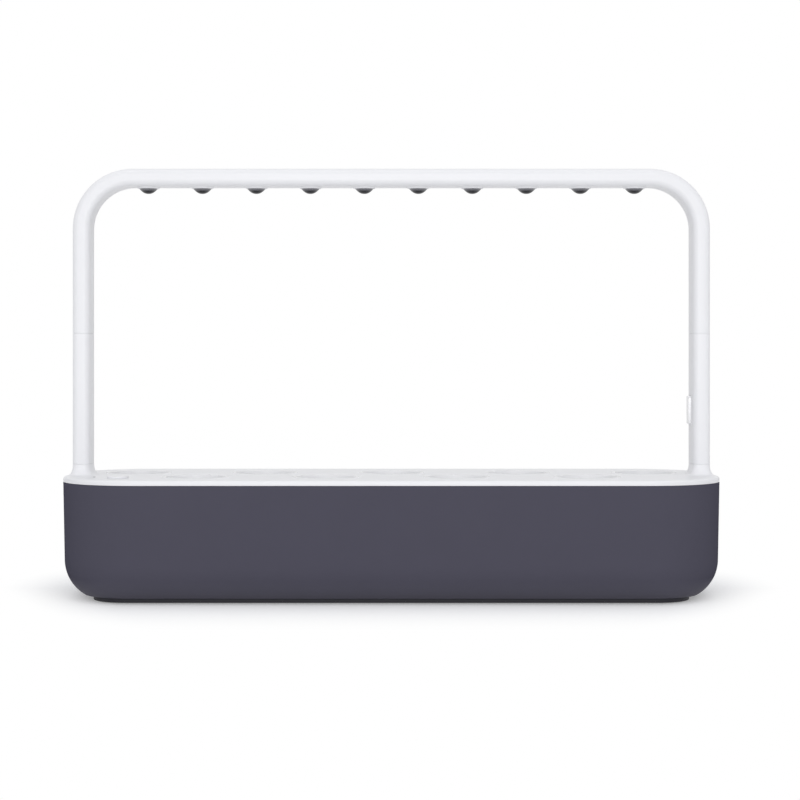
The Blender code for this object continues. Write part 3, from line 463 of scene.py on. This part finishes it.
PLINTH_BLACK = moulded_finish("plinth_black", (0.021, 0.020, 0.027),
                              roughness=0.58, grain=0.35, grain_size=0.0006, gloss=0.3)
plinth_path = rounded_path(plinth_high.x, plinth_high.y, PLINTH_CORNER, BROAD_STEPS)
plate_under = plinth_high.z - PLINTH_TOP
plinth_profile = eased([
    (PLINTH_WALL + PLATE_REACH, plinth_high.z), (0, plinth_high.z), (0, plinth_low.z),
    (PLINTH_WALL, plinth_low.z), (PLINTH_WALL, plate_under), (PLINTH_WALL + PLATE_REACH, plate_under)],
    PLINTH_EDGE)
plinth = moulding("plinth_tray", [carried(plinth_path, plinth_profile)], PLINTH_BLACK)
stands_for(plinth, "tank", "plinth_black", "base_plinth")


def plan_centre(name):
    """The middle of a node's box, seen from above."""
    low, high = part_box(name)
    return (low.x + high.x) / 2, (low.y + high.y) / 2


RUBBER = moulded_finish("foot_rubber", (0.020, 0.020, 0.021),
                        roughness=0.82, grain=0.5, grain_size=0.0004, mottle=0.10, gloss=0.25)
for corner in CORNERS:
    foot_low, foot_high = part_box(f"rubber_foot_{corner}")
    # The sole has a shallow groove near its rim, as pressed rubber feet have.
    sole = eased([(0, foot_low.z), (FOOT_RADIUS - GROOVE_IN, foot_low.z),
                  (FOOT_RADIUS - GROOVE_IN + GROOVE_BANK, foot_low.z + GROOVE_DEPTH),
                  (FOOT_RADIUS - GROOVE_OUT - GROOVE_BANK, foot_low.z + GROOVE_DEPTH),
                  (FOOT_RADIUS - GROOVE_OUT, foot_low.z), (FOOT_RADIUS, foot_low.z),
                  (FOOT_RADIUS, foot_high.z), (0, foot_high.z)], FOOT_EDGE, steps=3)
    foot = moulding(f"foot_pad_{corner}", [turned(sole, plan_centre(f"rubber_foot_{corner}"))], RUBBER)
    stands_for(foot, "tank", "foot_rubber", f"rubber_foot_{corner}")


MARK_WAVES, MARK_SHADE = 900.0, 0.92      # the tool's marks in metal, and what they leave of its colour
MARK_SPREAD = (-0.08, 0.1)                # how far its roughness wanders with them


def plated_finish(name, colour, roughness, ring):
    """Plated or milled metal: a bright metal whose roughness and bump follow fine noise stretched by ring,
    so that the tool's marks run one way."""
    material, tree, place = new_material(name)
    stretch = node(tree, "ShaderNodeMapping", vector=place, scale=ring)
    marks = noise(tree, stretch.outputs[0], MARK_WAVES, detail=4.0, roughness=0.6)
    bump = node(tree, "ShaderNodeBump", strength=0.15, distance=0.0001, height=marks)
    surface(tree, metallic=1.0, normal=bump.outputs[0],
            base_color=blend(tree, marks, [channel * MARK_SHADE for channel in colour], colour),
            roughness=spread(tree, marks, 0, 1, *(roughness + change for change in MARK_SPREAD)))
    return material


ZINC = plated_finish("screw_zinc", (0.62, 0.62, 0.60), roughness=0.34, ring=(1, 1, 0.1))


def screw_shape(seat, tip, at, sides=48):
    """A pan-head screw that points up. Its crown bulges down with the root of one less the radius share
    squared; within the cross, where a point lies nearer than half the slot's width to either arm, the crown
    is pressed in, and the press fades to nothing at the cross's reach."""
    circle = np.linspace(0, 2 * pi, sides, endpoint=False)
    share = np.linspace(0, 1, CROWN_ROWS)[:, None]
    across, along = share * SCREW_HEAD_RADIUS * np.cos(circle), share * SCREW_HEAD_RADIUS * np.sin(circle)
    crown = seat - SCREW_HEAD * (1 - CROWN_SHARE + CROWN_SHARE * np.sqrt(1 - share ** 2)) + 0 * across
    inside = np.minimum(np.abs(across), np.abs(along)) < RECESS_WIDTH / 2
    reach = np.clip(1 - share * SCREW_HEAD_RADIUS / RECESS_REACH, 0, 1)
    crown = crown + inside * RECESS_DEPTH * np.sqrt(reach)
    head = np.dstack([at[0] + across, at[1] + along, crown])
    shank = turned([(SCREW_HEAD_RADIUS, seat), (SCREW_RADIUS, seat), (SCREW_RADIUS, tip - SCREW_RADIUS),
                    (0, tip)], at, sides)
    return np.vstack([head, shank])


for corner, at in zip(CORNERS, screw_places):
    screw_low, screw_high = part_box(f"base_screw_{corner}")
    screw = moulding(f"plinth_screw_{corner}", [screw_shape(screw_low.z + SCREW_HEAD, screw_high.z, at)],
                     ZINC, crease=30.0)
    stands_for(screw, "tank", "screw_steel", f"base_screw_{corner}")


# Lid. A white plate that closes the tank, with a softly rolled rim, a skirt that drops inside the
# tank, nine holes for the cups, one for the gauge, a vent slot, and at each end a flared boss whose
# spigot carries a lamp tube. One injection moulding in satin white.
lid_low, lid_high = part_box("lid")
cup_low, cup_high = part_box("plant_cup_1")
LID_PLATE = 0.0024
lid_top = cup_high.z
lid_under = lid_top - LID_PLATE
ROLL_ACROSS, ROLL_DOWN = 0.0026, 0.0024
SKIRT_OUT, SKIRT_WALL, SKIRT_EDGE = 0.0033, 0.0018, 0.0004
CUP_RECESS_RADIUS, CUP_HOLE_RADIUS, CUP_LEDGE, LEDGE_EDGE = 0.0313, 0.0297, 0.0013, 0.0002
CUP_SIDES = 96
GAUGE_HOLE_RADIUS = 0.0051
MOUTH_EDGE = 0.0004
VENT_AT, VENT_EDGE = (-0.2743, -0.041), 0.0002
VENT_HALF_WIDTH, VENT_HALF_LENGTH, VENT_CORNER = 0.00135, 0.0028, 0.0010
TUBE_HALF, TUBE_HALF_DEPTH, TUBE_CORNER = 0.0081, 0.018, 0.0058
SPIGOT_INSET, SPIGOT_WALL, SPIGOT_EDGE = 0.0023, 0.0018, 0.0003
FLARE_ACROSS, FLARE_UP = 0.0048, 0.0095
INLET_RADIUS, INLET_ROOM, DRILL_LENGTH = 0.0033, 0.0003, 0.030
SEAM, SEAM_ROLL = 0.0001, 0.00012    # what shows between two parts pressed home, and the roll of their edges

WHITE = moulded_finish("shell_white", (0.83, 0.83, 0.85),
                       roughness=0.36, grain=0.05, grain_size=0.0012, mottle=0.008, gloss=0.45)

rim_under = tank_high.z + SEAM
lid_path = rounded_path(tank_high.x, tank_high.y, TANK_CORNER, BROAD_STEPS)
lid_edge = np.vstack([
    quarter((0, lid_top - ROLL_DOWN), (ROLL_ACROSS, lid_top), steps=10)[::-1],
    eased([(0, lid_top - ROLL_DOWN), (0, rim_under), (SKIRT_OUT, rim_under), (SKIRT_OUT, lid_low.z),
           (SKIRT_OUT + SKIRT_WALL, lid_low.z), (SKIRT_OUT + SKIRT_WALL, lid_under)], SKIRT_EDGE)[1:]])
lid_strips = [carried(lid_path, lid_edge)]


def soft_mouth(radius):
    """The rounded edge of a round hole in the lid's top, from the top inwards."""
    return quarter((radius, lid_top - MOUTH_EDGE), (radius + MOUTH_EDGE, lid_top), steps=5)[::-1]


cup_centres = [plan_centre(f"plant_cup_{number}") for number in range(1, 10)]
cup_hole = np.vstack([
    soft_mouth(CUP_RECESS_RADIUS),
    eased([(CUP_RECESS_RADIUS, lid_top - MOUTH_EDGE), (CUP_RECESS_RADIUS, lid_top - CUP_LEDGE),
           (CUP_HOLE_RADIUS, lid_top - CUP_LEDGE), (CUP_HOLE_RADIUS, lid_under)], LEDGE_EDGE, steps=2)[1:]])
lid_strips += [turned(cup_hole, at, CUP_SIDES) for at in cup_centres]

gauge_low, gauge_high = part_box("float_cap")
gauge_at = plan_centre("float_cap")
gauge_hole = np.vstack([soft_mouth(GAUGE_HOLE_RADIUS), [(GAUGE_HOLE_RADIUS, lid_under)]])
lid_strips.append(turned(gauge_hole, gauge_at, sides=48))

vent_path = rounded_path(VENT_HALF_WIDTH, VENT_HALF_LENGTH, VENT_CORNER, SMALL_STEPS)
vent_hole = [(-VENT_EDGE, lid_top), (0, lid_top - VENT_EDGE), (0, lid_under)]
lid_strips.append(carried(vent_path, vent_hole, VENT_AT))

left_tube_low, left_tube_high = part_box("left_extension_tube")
right_tube_low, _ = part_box("right_extension_tube")
boss_top = left_tube_low.z - SEAM
post_xs = (plan_centre("left_extension_tube")[0], plan_centre("right_extension_tube")[0])
tube_path = rounded_path(TUBE_HALF, TUBE_HALF_DEPTH, TUBE_CORNER, TUBE_STEPS)
boss_profile = np.vstack([
    quarter((-FLARE_ACROSS, lid_top), (0, lid_top + FLARE_UP), steps=12, hollow=True),
    eased([(0, lid_top + FLARE_UP), (0, boss_top), (SPIGOT_INSET, boss_top), (SPIGOT_INSET, lid_high.z),
           (SPIGOT_INSET + SPIGOT_WALL, lid_high.z), (SPIGOT_INSET + SPIGOT_WALL, lid_under)],
          SPIGOT_EDGE)[1:]])
lid_strips += [carried(tube_path, boss_profile, (x, 0)) for x in post_xs]
lid = moulding("lid_plate", lid_strips, WHITE)


def carve(body, tool, operation="DIFFERENCE", crease=14.0):
    """Cuts the tool out of the body, or welds it on, for good, and throws the tool away."""
    change = body.modifiers.new("carve", "BOOLEAN")
    change.operation, change.object, change.solver = operation, tool, "EXACT"
    bpy.context.view_layer.update()
    seen = body.evaluated_get(bpy.context.evaluated_depsgraph_get())
    mesh = bpy.data.meshes.new_from_object(seen)
    body.modifiers.remove(change)
    shape = bmesh.new()
    shape.from_mesh(mesh)
    merge_points(shape)
    crisp_edges(shape, crease)
    shape.to_mesh(mesh)
    shape.free()
    body.data = mesh
    bpy.data.objects.remove(tool)


inlet_low, inlet_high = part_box("power_inlet")
inlet_at = ((inlet_low.x + inlet_high.x) / 2, 0, (inlet_low.z + inlet_high.z) / 2)


def lying_back(points):
    """Lays an upright piece along +Y from the inlet's axis: its height becomes the distance back."""
    x, y, z = np.moveaxis(points, -1, 0)
    return np.stack([x + inlet_at[0], z + inlet_at[1], inlet_at[2] - y], -1)


drill_radius = INLET_RADIUS + INLET_ROOM
drill_profile = [(0, 0), (drill_radius, 0), (drill_radius, DRILL_LENGTH), (0, DRILL_LENGTH)]
carve(lid, moulding("inlet_drill", [turned(drill_profile, sides=40)], WHITE, lay=lying_back))
stands_for(lid, "lid", "shell_white", "lid")


# Vent plug. A small dark rubber plug in the slot beside the gauge, flush with the lid's top and held
# by a lip underneath. Moulded rubber, pushed in from inside.
plug_low, plug_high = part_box("vent_plug")
PLUG_CLEARANCE, PLUG_LIP, PLUG_LIP_THICKNESS, PLUG_EDGE = 0.0003, 0.0008, 0.0010, 0.0002
plug_lip_top = plug_low.z + PLUG_LIP_THICKNESS
plug_profile = eased([(-PLUG_LIP, plug_low.z), (-PLUG_LIP, plug_lip_top), (PLUG_CLEARANCE, plug_lip_top),
                      (PLUG_CLEARANCE, plug_high.z), (2 * PLUG_CLEARANCE, plug_high.z)], PLUG_EDGE)
plug = moulding("vent_plug_rubber", [carried(vent_path, plug_profile, VENT_AT)], RUBBER)
stands_for(plug, "lid", "foot_rubber", "vent_plug")


# Plant cups. Nine thin white cups with a taper and a flange that drops into its ring in the lid;
# a hole in each floor lets the wick hang in the water. Moulded plastic, lifted out by hand.
CUP_FLANGE_RADIUS, CUP_FLANGE = 0.031, 0.001
CUP_MOUTH_RADIUS, CUP_WALL = 0.028, 0.0012
CUP_FOOT_RADIUS, WICK_RADIUS = 0.021, 0.007

CUP_WHITE = moulded_finish("cup_white", (0.87, 0.87, 0.88),
                           roughness=0.26, grain=0.04, grain_size=0.0008, mottle=0.012, gloss=0.5)
cup_foot = cup_low.z
cup_profile = eased([
    (WICK_RADIUS, cup_foot), (CUP_FOOT_RADIUS, cup_foot),
    (CUP_MOUTH_RADIUS + CUP_WALL, lid_top - CUP_FLANGE), (CUP_FLANGE_RADIUS, lid_top - CUP_FLANGE),
    (CUP_FLANGE_RADIUS, lid_top), (CUP_MOUTH_RADIUS, lid_top),
    (CUP_FOOT_RADIUS - CUP_WALL, cup_foot + CUP_WALL), (WICK_RADIUS, cup_foot + CUP_WALL)],
    (0.0005, 0.0030, 0.0003, 0.0003, 0.0004, 0.0007, 0.0024, 0.0005), steps=5, loop=True)
for number, at in enumerate(cup_centres, 1):
    cup = moulding(f"cup_{number}_moulding", [turned(cup_profile, at, CUP_SIDES)], CUP_WHITE, loops=True)
    stands_for(cup, f"cup_{number}", "cup_white", f"plant_cup_{number}")


# Water gauge. A flat cap on a stem stands higher above the lid the more water lifts its foam bob.
# Cap, stem and guide are white plastic; the bob is pale closed-cell foam pushed on the stem.
CAP_RADIUS, CAP_GAP = 0.0098, 0.00005
NECK_RADIUS, NECK_RISE = 0.0027, 0.0009
GUIDE_BORE, GUIDE_RADIUS, GUIDE_EDGE = 0.0030, 0.0048, 0.0003
GUIDE_FLANGE_RADIUS, GUIDE_FLANGE, GUIDE_GAP = 0.0082, 0.0014, 0.0003
STEM_RADIUS, STEM_EDGE = 0.0024, 0.0003
BOB_RADIUS, BOB_BORE, BOB_GAP = 0.014, 0.0027, 0.0003

cap_seat = lid_top + CAP_GAP
neck_low = gauge_low.z + NECK_RISE
cap_profile = eased([(0, neck_low), (NECK_RADIUS, neck_low), (NECK_RADIUS, cap_seat), (CAP_RADIUS, cap_seat),
                     (CAP_RADIUS, gauge_high.z), (0, gauge_high.z)], (0, 0.0002, 0.0002, 0.0002, 0.0005, 0))
cap = moulding("gauge_cap", [turned(cap_profile, gauge_at)], WHITE)
stands_for(cap, "float", "shell_white", "float_cap")

guide_low, guide_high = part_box("float_guide")
flange_high = lid_under - GUIDE_GAP
flange_low = flange_high - GUIDE_FLANGE
guide_profile = eased([
    (GUIDE_BORE, guide_low.z), (GUIDE_RADIUS, guide_low.z), (GUIDE_RADIUS, flange_low),
    (GUIDE_FLANGE_RADIUS, flange_low), (GUIDE_FLANGE_RADIUS, flange_high), (GUIDE_RADIUS, flange_high),
    (GUIDE_RADIUS, guide_high.z), (GUIDE_BORE, guide_high.z)], GUIDE_EDGE, loop=True)
guide = moulding("gauge_guide", [turned(guide_profile, gauge_at, sides=48)], WHITE, loops=True)
stands_for(guide, "lid", "shell_white", "float_guide")

stem_low, stem_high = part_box("float_stem")
stem_profile = eased([(0, stem_low.z), (STEM_RADIUS, stem_low.z), (STEM_RADIUS, stem_high.z),
                      (0, stem_high.z)], STEM_EDGE)
stem = moulding("gauge_stem", [turned(stem_profile, gauge_at, sides=40)], WHITE)
stands_for(stem, "float", "shell_white", "float_stem")


def foam_finish():
    """Closed-cell foam: pale skin pitted by small cells that dent the surface; painted shade darkens the
    colour a little in each dent."""
    material, tree, place = new_material("gauge_foam")
    cells = node(tree, "ShaderNodeTexVoronoi", vector=place, scale=1400.0).outputs["Distance"]
    tint = node(tree, "ShaderNodeValToRGB", cells)
    shaded_pit, skin = tint.color_ramp.elements
    # the darker colour at the cells' centres is painted shade in their dents
    shaded_pit.color, skin.color, skin.position = (0.60, 0.61, 0.58, 1), (0.76, 0.77, 0.74, 1), 0.4
    bump = node(tree, "ShaderNodeBump", strength=0.5, distance=0.0003, height=cells)
    surface(tree, base_color=tint.outputs[0], roughness=0.9, normal=bump.outputs[0])
    return material


bob_low, bob_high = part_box("float_bob")
bob_profile = eased([(0, bob_low.z), (BOB_RADIUS, bob_low.z), (BOB_RADIUS, bob_high.z),
                     (BOB_BORE, bob_high.z), (BOB_BORE, stem_low.z - BOB_GAP), (0, stem_low.z - BOB_GAP)],
                    (0, 0.0036, 0.0036, 0.0006, 0.0002, 0), steps=8)
bob = moulding("gauge_bob", [turned(bob_profile, gauge_at)], foam_finish())
stands_for(bob, "float", "float_foam", "float_bob")


# Power inlet and contacts. A small round socket behind the right-hand boss takes the low-voltage
# plug; three moulded contact pieces carry the power up through the tube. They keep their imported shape.
SOCKET_RADIUS, SOCKET_DEPTH = 0.0018, 0.007
PIN_RADIUS, PIN_SHOULDER, PIN_TIP = 0.0006, 0.0016, 0.0012

JACK = moulded_finish("inlet_black", (0.028, 0.028, 0.030),
                      roughness=0.38, grain=0.10, grain_size=0.0005, mottle=0.05)
inlet_profile = eased([
    (0, inlet_low.y), (INLET_RADIUS, inlet_low.y), (INLET_RADIUS, inlet_high.y),
    (SOCKET_RADIUS, inlet_high.y), (SOCKET_RADIUS, inlet_high.y - SOCKET_DEPTH),
    (PIN_RADIUS, inlet_high.y - SOCKET_DEPTH), (PIN_RADIUS, inlet_high.y - PIN_SHOULDER),
    (0, inlet_high.y - PIN_TIP)],
    (0, 0.0003, 0.0004, 0.0003, 0.0002, 0.0001, 0.0003, 0))
inlet = moulding("power_socket", [turned(inlet_profile, sides=48)], JACK, lay=lying_back)
stands_for(inlet, "lid", "inlet_black", "power_inlet")


def dressed(name, material):
    """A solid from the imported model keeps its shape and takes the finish."""
    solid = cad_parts[name]
    solid.data.materials.clear()
    solid.data.materials.append(material)


CONTACT = moulded_finish("contact_grey", (0.25, 0.24, 0.22),
                         roughness=0.5, grain=0.25, grain_size=0.0006, mottle=0.06)
for name in ("lid_contact_block", "extension_wiring", "arch_contact_block", "button_switch"):
    dressed(name, CONTACT)


# Extension tubes. Two hollow white tubes that raise the lamp as plants grow: each slips over the
# spigot below and carries the same spigot on top. Moulded plastic, pulled apart by hand.
SHELL_WALL = 0.002
EDGE_ROLL = 0.00035
WINDOW_HALF_Y, WINDOW_HALF_Z, WINDOW_CORNER = 0.0066, 0.0133, 0.0021
WINDOW_PASS = 0.001              # of the window's tool, beyond both sides of the wall
tube_foot, tube_top = left_tube_low.z, left_tube_high.z
tube_head = tube_top - (lid_high.z - boss_top)
tube_profile = eased([
    (0, tube_foot), (0, tube_head), (SPIGOT_INSET, tube_head), (SPIGOT_INSET, tube_top),
    (SPIGOT_INSET + SPIGOT_WALL, tube_top), (SPIGOT_INSET + SPIGOT_WALL, tube_head - SHELL_WALL),
    (SHELL_WALL, tube_head - SHELL_WALL), (SHELL_WALL, tube_foot)],
    (SEAM_ROLL,) * 2 + (EDGE_ROLL,) * 6, loop=True)
left_tube = moulding("left_tube", [carried(tube_path, tube_profile, (post_xs[0], 0))], WHITE, loops=True)
stands_for(left_tube, "left_extension", "shell_white", "left_extension_tube")
right_tube = moulding("right_tube", [carried(tube_path, tube_profile, (post_xs[1], 0))], WHITE, loops=True)

button_low, button_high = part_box("light_button")
button_y, button_z = (button_low.y + button_high.y) / 2, (button_low.z + button_high.z) / 2
window_path = rounded_path(WINDOW_HALF_Y, WINDOW_HALF_Z, WINDOW_CORNER, SMALL_STEPS)


def facing_in(points):
    """Turns an upright piece to the inner face of the right-hand tube: its height points out of that face,
    towards the middle of the garden, and its plan lies in it."""
    x, y, z = np.moveaxis(points, -1, 0)
    return np.stack([right_tube_low.x - z, button_y - x, button_z + y], -1)


window_profile = [(0, -SHELL_WALL - WINDOW_PASS), (0, WINDOW_PASS)]
carve(right_tube, moulding("window_tool", [carried(window_path, window_profile)], WHITE, lay=facing_in))
stands_for(right_tube, "right_extension", "shell_white", "right_extension_tube")


# Button. A slim white pad that slides a millimetre in a window in the right-hand tube's inner face.
# A lip behind the window keeps it in, and the switch pushes it back. Moulded in one, with a gloss.
PAD_HALF_WIDTH, PAD_HALF_LENGTH, PAD_CORNER = 0.0065, 0.0132, 0.0020
PAD_LIP, PAD_GAP, PAD_EDGE = 0.0010, 0.0003, 0.0002
PAD_ROLL, PAD_ROLL_DEPTH = 0.0005, 0.0004
PAD_WHITE = moulded_finish("pad_gloss_white", (0.90, 0.90, 0.91),
                           roughness=0.18, grain=0.01, grain_size=0.0012, mottle=0.005)
pad_face = right_tube_low.x - button_low.x
lip_back = right_tube_low.x - button_high.x
lip_face = -SHELL_WALL - PAD_GAP
pad_path = rounded_path(PAD_HALF_WIDTH, PAD_HALF_LENGTH, PAD_CORNER, SMALL_STEPS)
pad_profile = np.vstack([
    eased([(-PAD_LIP, lip_back), (-PAD_LIP, lip_face), (0, lip_face), (0, pad_face - PAD_ROLL_DEPTH)],
          PAD_EDGE),
    quarter((0, pad_face - PAD_ROLL_DEPTH), (PAD_ROLL, pad_face), steps=6)[1:]])
button = moulding("button_pad", [carried(pad_path, pad_profile)], PAD_WHITE, lay=facing_in)
stands_for(button, "button", "shell_white", "light_button")


# Lamp arch. One white moulding: two legs, two soft elbows and a level bar, open along its inner
# side like a channel. A cover strip clips into that side and carries ten short cone-shaped bezels.
arch_low, arch_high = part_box("lamp_arch")
ELBOW_RADIUS = 0.0478
SLOT_HALF, SLOT_GAP, STRIP_EDGE = 0.0120, 0.0003, 0.0002
FOOT_ROLL = np.array([1, 0.3, 0])    # the steps of the roll at both feet, from the foot up
LENS_RADIUS = 0.0086
BEZEL_ROOT, BEZEL_TIP, BEZEL_HEIGHT, BEZEL_SINK = 0.0115, 0.0098, 0.0017, 0.001
BORE_ROOM, BORE_RISE, BORE_MOUTH, BORE_PASS = 0.0002, 0.004, 0.0008, 0.0003
bar_middle, bar_under = arch_high.z - TUBE_HALF, arch_high.z - 2 * TUBE_HALF
elbow_x, elbow_z = post_xs[1] - ELBOW_RADIUS, bar_middle - ELBOW_RADIUS


def along_arch(section_at, foot, steps=30):
    """Carries a section of (outward, y) points along the arch: up the left leg, a quarter turn about each
    elbow's own centre, and down the right leg. section_at gives the section drawn in by an inset, which
    eases both feet."""
    turn = np.concatenate([np.linspace(pi, pi / 2, steps + 1), np.linspace(pi / 2, 0, steps + 1)])
    side = np.repeat([-1.0, 1.0], steps + 1)
    out = np.stack([np.cos(turn), np.sin(turn)], -1)
    line = np.stack([side * elbow_x, np.full(len(turn), elbow_z)], -1) + ELBOW_RADIUS * out
    ease, lift = SEAM_ROLL * FOOT_ROLL, foot + SEAM_ROLL * FOOT_ROLL[::-1]
    line = np.vstack([np.stack([np.full(3, -post_xs[1]), lift], -1), line,
                      np.stack([np.full(3, post_xs[1]), lift[::-1]], -1)])
    out = np.vstack([np.tile([-1.0, 0.0], (3, 1)), out, np.tile([1.0, 0.0], (3, 1))])
    inset = np.concatenate([ease, np.zeros(len(turn)), ease[::-1]])
    rows = np.stack([section_at(draw) for draw in inset])
    return np.dstack([line[:, None, 0] + rows[..., 0] * out[:, None, 0], rows[..., 1],
                      line[:, None, 1] + rows[..., 0] * out[:, None, 1]])


def channel_at(inset):
    """The arch's section: a rounded rectangle and its wall's inner side, both open where the strip goes in.
    Each ring is turned by two corners, so that it begins and ends at that side."""
    slot = SLOT_HALF + inset
    sides = []
    for wall, draw in ((0, inset), (SHELL_WALL, -inset)):
        ring, _ = rounded_path(TUBE_HALF - wall - draw, TUBE_HALF_DEPTH - wall - draw,
                               TUBE_CORNER - wall - draw, TUBE_STEPS)
        face = wall + draw - TUBE_HALF
        sides.append(np.vstack([[(face, -slot)], np.roll(ring, -2 * (TUBE_STEPS + 1), 0), [(face, slot)]]))
    return np.vstack([sides[0], sides[1][::-1]])


arch = moulding("arch_channel", [along_arch(channel_at, arch_low.z)], WHITE)
stands_for(arch, "lamp", "shell_white", "lamp_arch")


def strip_at(inset):
    """The cover strip's section, a flat rectangle with softened corners that lies flush in the arch's
    slot."""
    half = SLOT_HALF - SLOT_GAP - inset
    face, back = inset - TUBE_HALF, SHELL_WALL - TUBE_HALF - inset
    return eased([(face, -half), (face, half), (back, half), (back, -half)], STRIP_EDGE, steps=2, loop=True)


lens_boxes = [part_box(f"led_lens_{number}") for number in range(1, 11)]
lens_xs = [(low.x + high.x) / 2 for low, high in lens_boxes]
bezel_under = bar_under - BEZEL_HEIGHT
cover = moulding("arch_cover", [along_arch(strip_at, arch_low.z)], WHITE)
bezel_profile = eased([
    (0, bar_under + BEZEL_SINK), (BEZEL_ROOT, bar_under + BEZEL_SINK), (BEZEL_ROOT, bar_under),
    (BEZEL_TIP, bezel_under), (0, bezel_under)], (0, 0, 0.0001, 0.0004, 0), steps=3)
carve(cover, moulding("bezel_tool", [turned(bezel_profile, (x, 0)) for x in lens_xs], WHITE), "UNION")
bore_radius = LENS_RADIUS + BORE_ROOM
bore_profile = eased([
    (0, bar_under + BORE_RISE), (bore_radius, bar_under + BORE_RISE), (bore_radius, bezel_under + BORE_PASS),
    (LENS_RADIUS + BORE_MOUTH, bezel_under - BORE_PASS), (0, bezel_under - BORE_PASS)],
    (0, 0, 0.0003, 0, 0), steps=3)
carve(cover, moulding("bore_tool", [turned(bore_profile, (x, 0)) for x in lens_xs], WHITE))
stands_for(cover, "lamp", "shell_white", "lamp_cover")


# Lenses. Ten smoked-plastic domes, one in each bezel, over the light-emitting diodes. Each is a
# glossy moulding with a flange behind the cover strip; its dome narrows to a soft tip.
DOME_POWER, DOME_ROWS = 2.22, 20
LENS_FLANGE_RADIUS, LENS_FLANGE = 0.0104, 0.0012
# the dome's colour is set by height alone: black deep below the bar, grey up by the skirt
SMOKE_BLACK_DEPTH, SMOKE_GREY_DEPTH = 0.0046, 0.0015    # below the bar: where the smoke is black, and where it is grey
SMOKE_BLACK, SMOKE_GREY = (0.010, 0.010, 0.013), (0.28, 0.28, 0.30)
LENS_ROUGHNESS = (0.07, 0.16)              # which wanders with a faint haze


def lens_finish():
    """Smoked clear plastic under a glossy skin, coloured by height alone: near black at the tip and greyer
    towards the skirt.
    """
    material, tree, place = new_material("lens_smoked")
    height = node(tree, "ShaderNodeSeparateXYZ", place).outputs["Z"]
    fade = spread(tree, height, bar_under - SMOKE_BLACK_DEPTH, bar_under - SMOKE_GREY_DEPTH, 0, 1)
    haze = noise(tree, place, scale=350.0, detail=2.0)
    surface(tree, specular_ior_level=0.25, roughness=spread(tree, haze, 0, 1, *LENS_ROUGHNESS),
            base_color=blend(tree, fade, SMOKE_BLACK, SMOKE_GREY))
    return material


LENS = lens_finish()
for number, (low, high) in enumerate(lens_boxes, 1):
    # Down the dome the depth share is one less the radius share to a power a little over two.
    share = np.linspace(1, 0, DOME_ROWS)
    depth = (bezel_under - low.z) * (1 - share ** DOME_POWER)
    dome = np.stack([LENS_RADIUS * share, bezel_under - depth], -1)
    flange = [(0, high.z), (LENS_FLANGE_RADIUS, high.z), (LENS_FLANGE_RADIUS, high.z - LENS_FLANGE),
              (LENS_RADIUS, high.z - LENS_FLANGE)]
    lens = moulding(f"lens_dome_{number}", [turned(np.vstack([flange, dome]), (lens_xs[number - 1], 0))],
                    LENS)
    stands_for(lens, "lamp", "lens_smoked", f"led_lens_{number}")


# Light engine. Inside the bar a white LED board lies on the lenses, an aluminium spreader takes its
# heat, and three screws hold both up; the driver board stands in the right-hand leg, and a lead
# joins the two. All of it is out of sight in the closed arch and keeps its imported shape.
def board_finish(name, mask, track, pitch):
    """A circuit board: solder mask over copper tracks that run in long staggered cells of the given
    pitch."""
    material, tree, place = new_material(name)
    tracks = node(tree, "ShaderNodeTexBrick", vector=place, scale=1 / pitch, mortar_size=0.03,
                  mortar=(*track, 1), color1=(*mask, 1), color2=(*(channel * 0.9 for channel in mask), 1))
    surface(tree, base_color=tracks.outputs["Color"], roughness=noise(tree, place, scale=400.0, detail=2.0))
    return material


dressed("led_board", board_finish("board_white", (0.72, 0.74, 0.72), (0.55, 0.56, 0.52), pitch=0.012))
dressed("driver_board", board_finish("board_green", (0.03, 0.20, 0.09), (0.10, 0.34, 0.16), pitch=0.006))
dressed("heat_spreader", plated_finish("spreader_aluminium", (0.76, 0.77, 0.78),
                                       roughness=0.36, ring=(0.04, 1, 1)))
dressed("lamp_lead", moulded_finish("lead_sheath", (0.60, 0.60, 0.60),
                                    roughness=0.5, grain=0.15, grain_size=0.0006, mottle=0.04))
for number in (1, 2, 3):
    dressed(f"lamp_screw_{number}", ZINC)
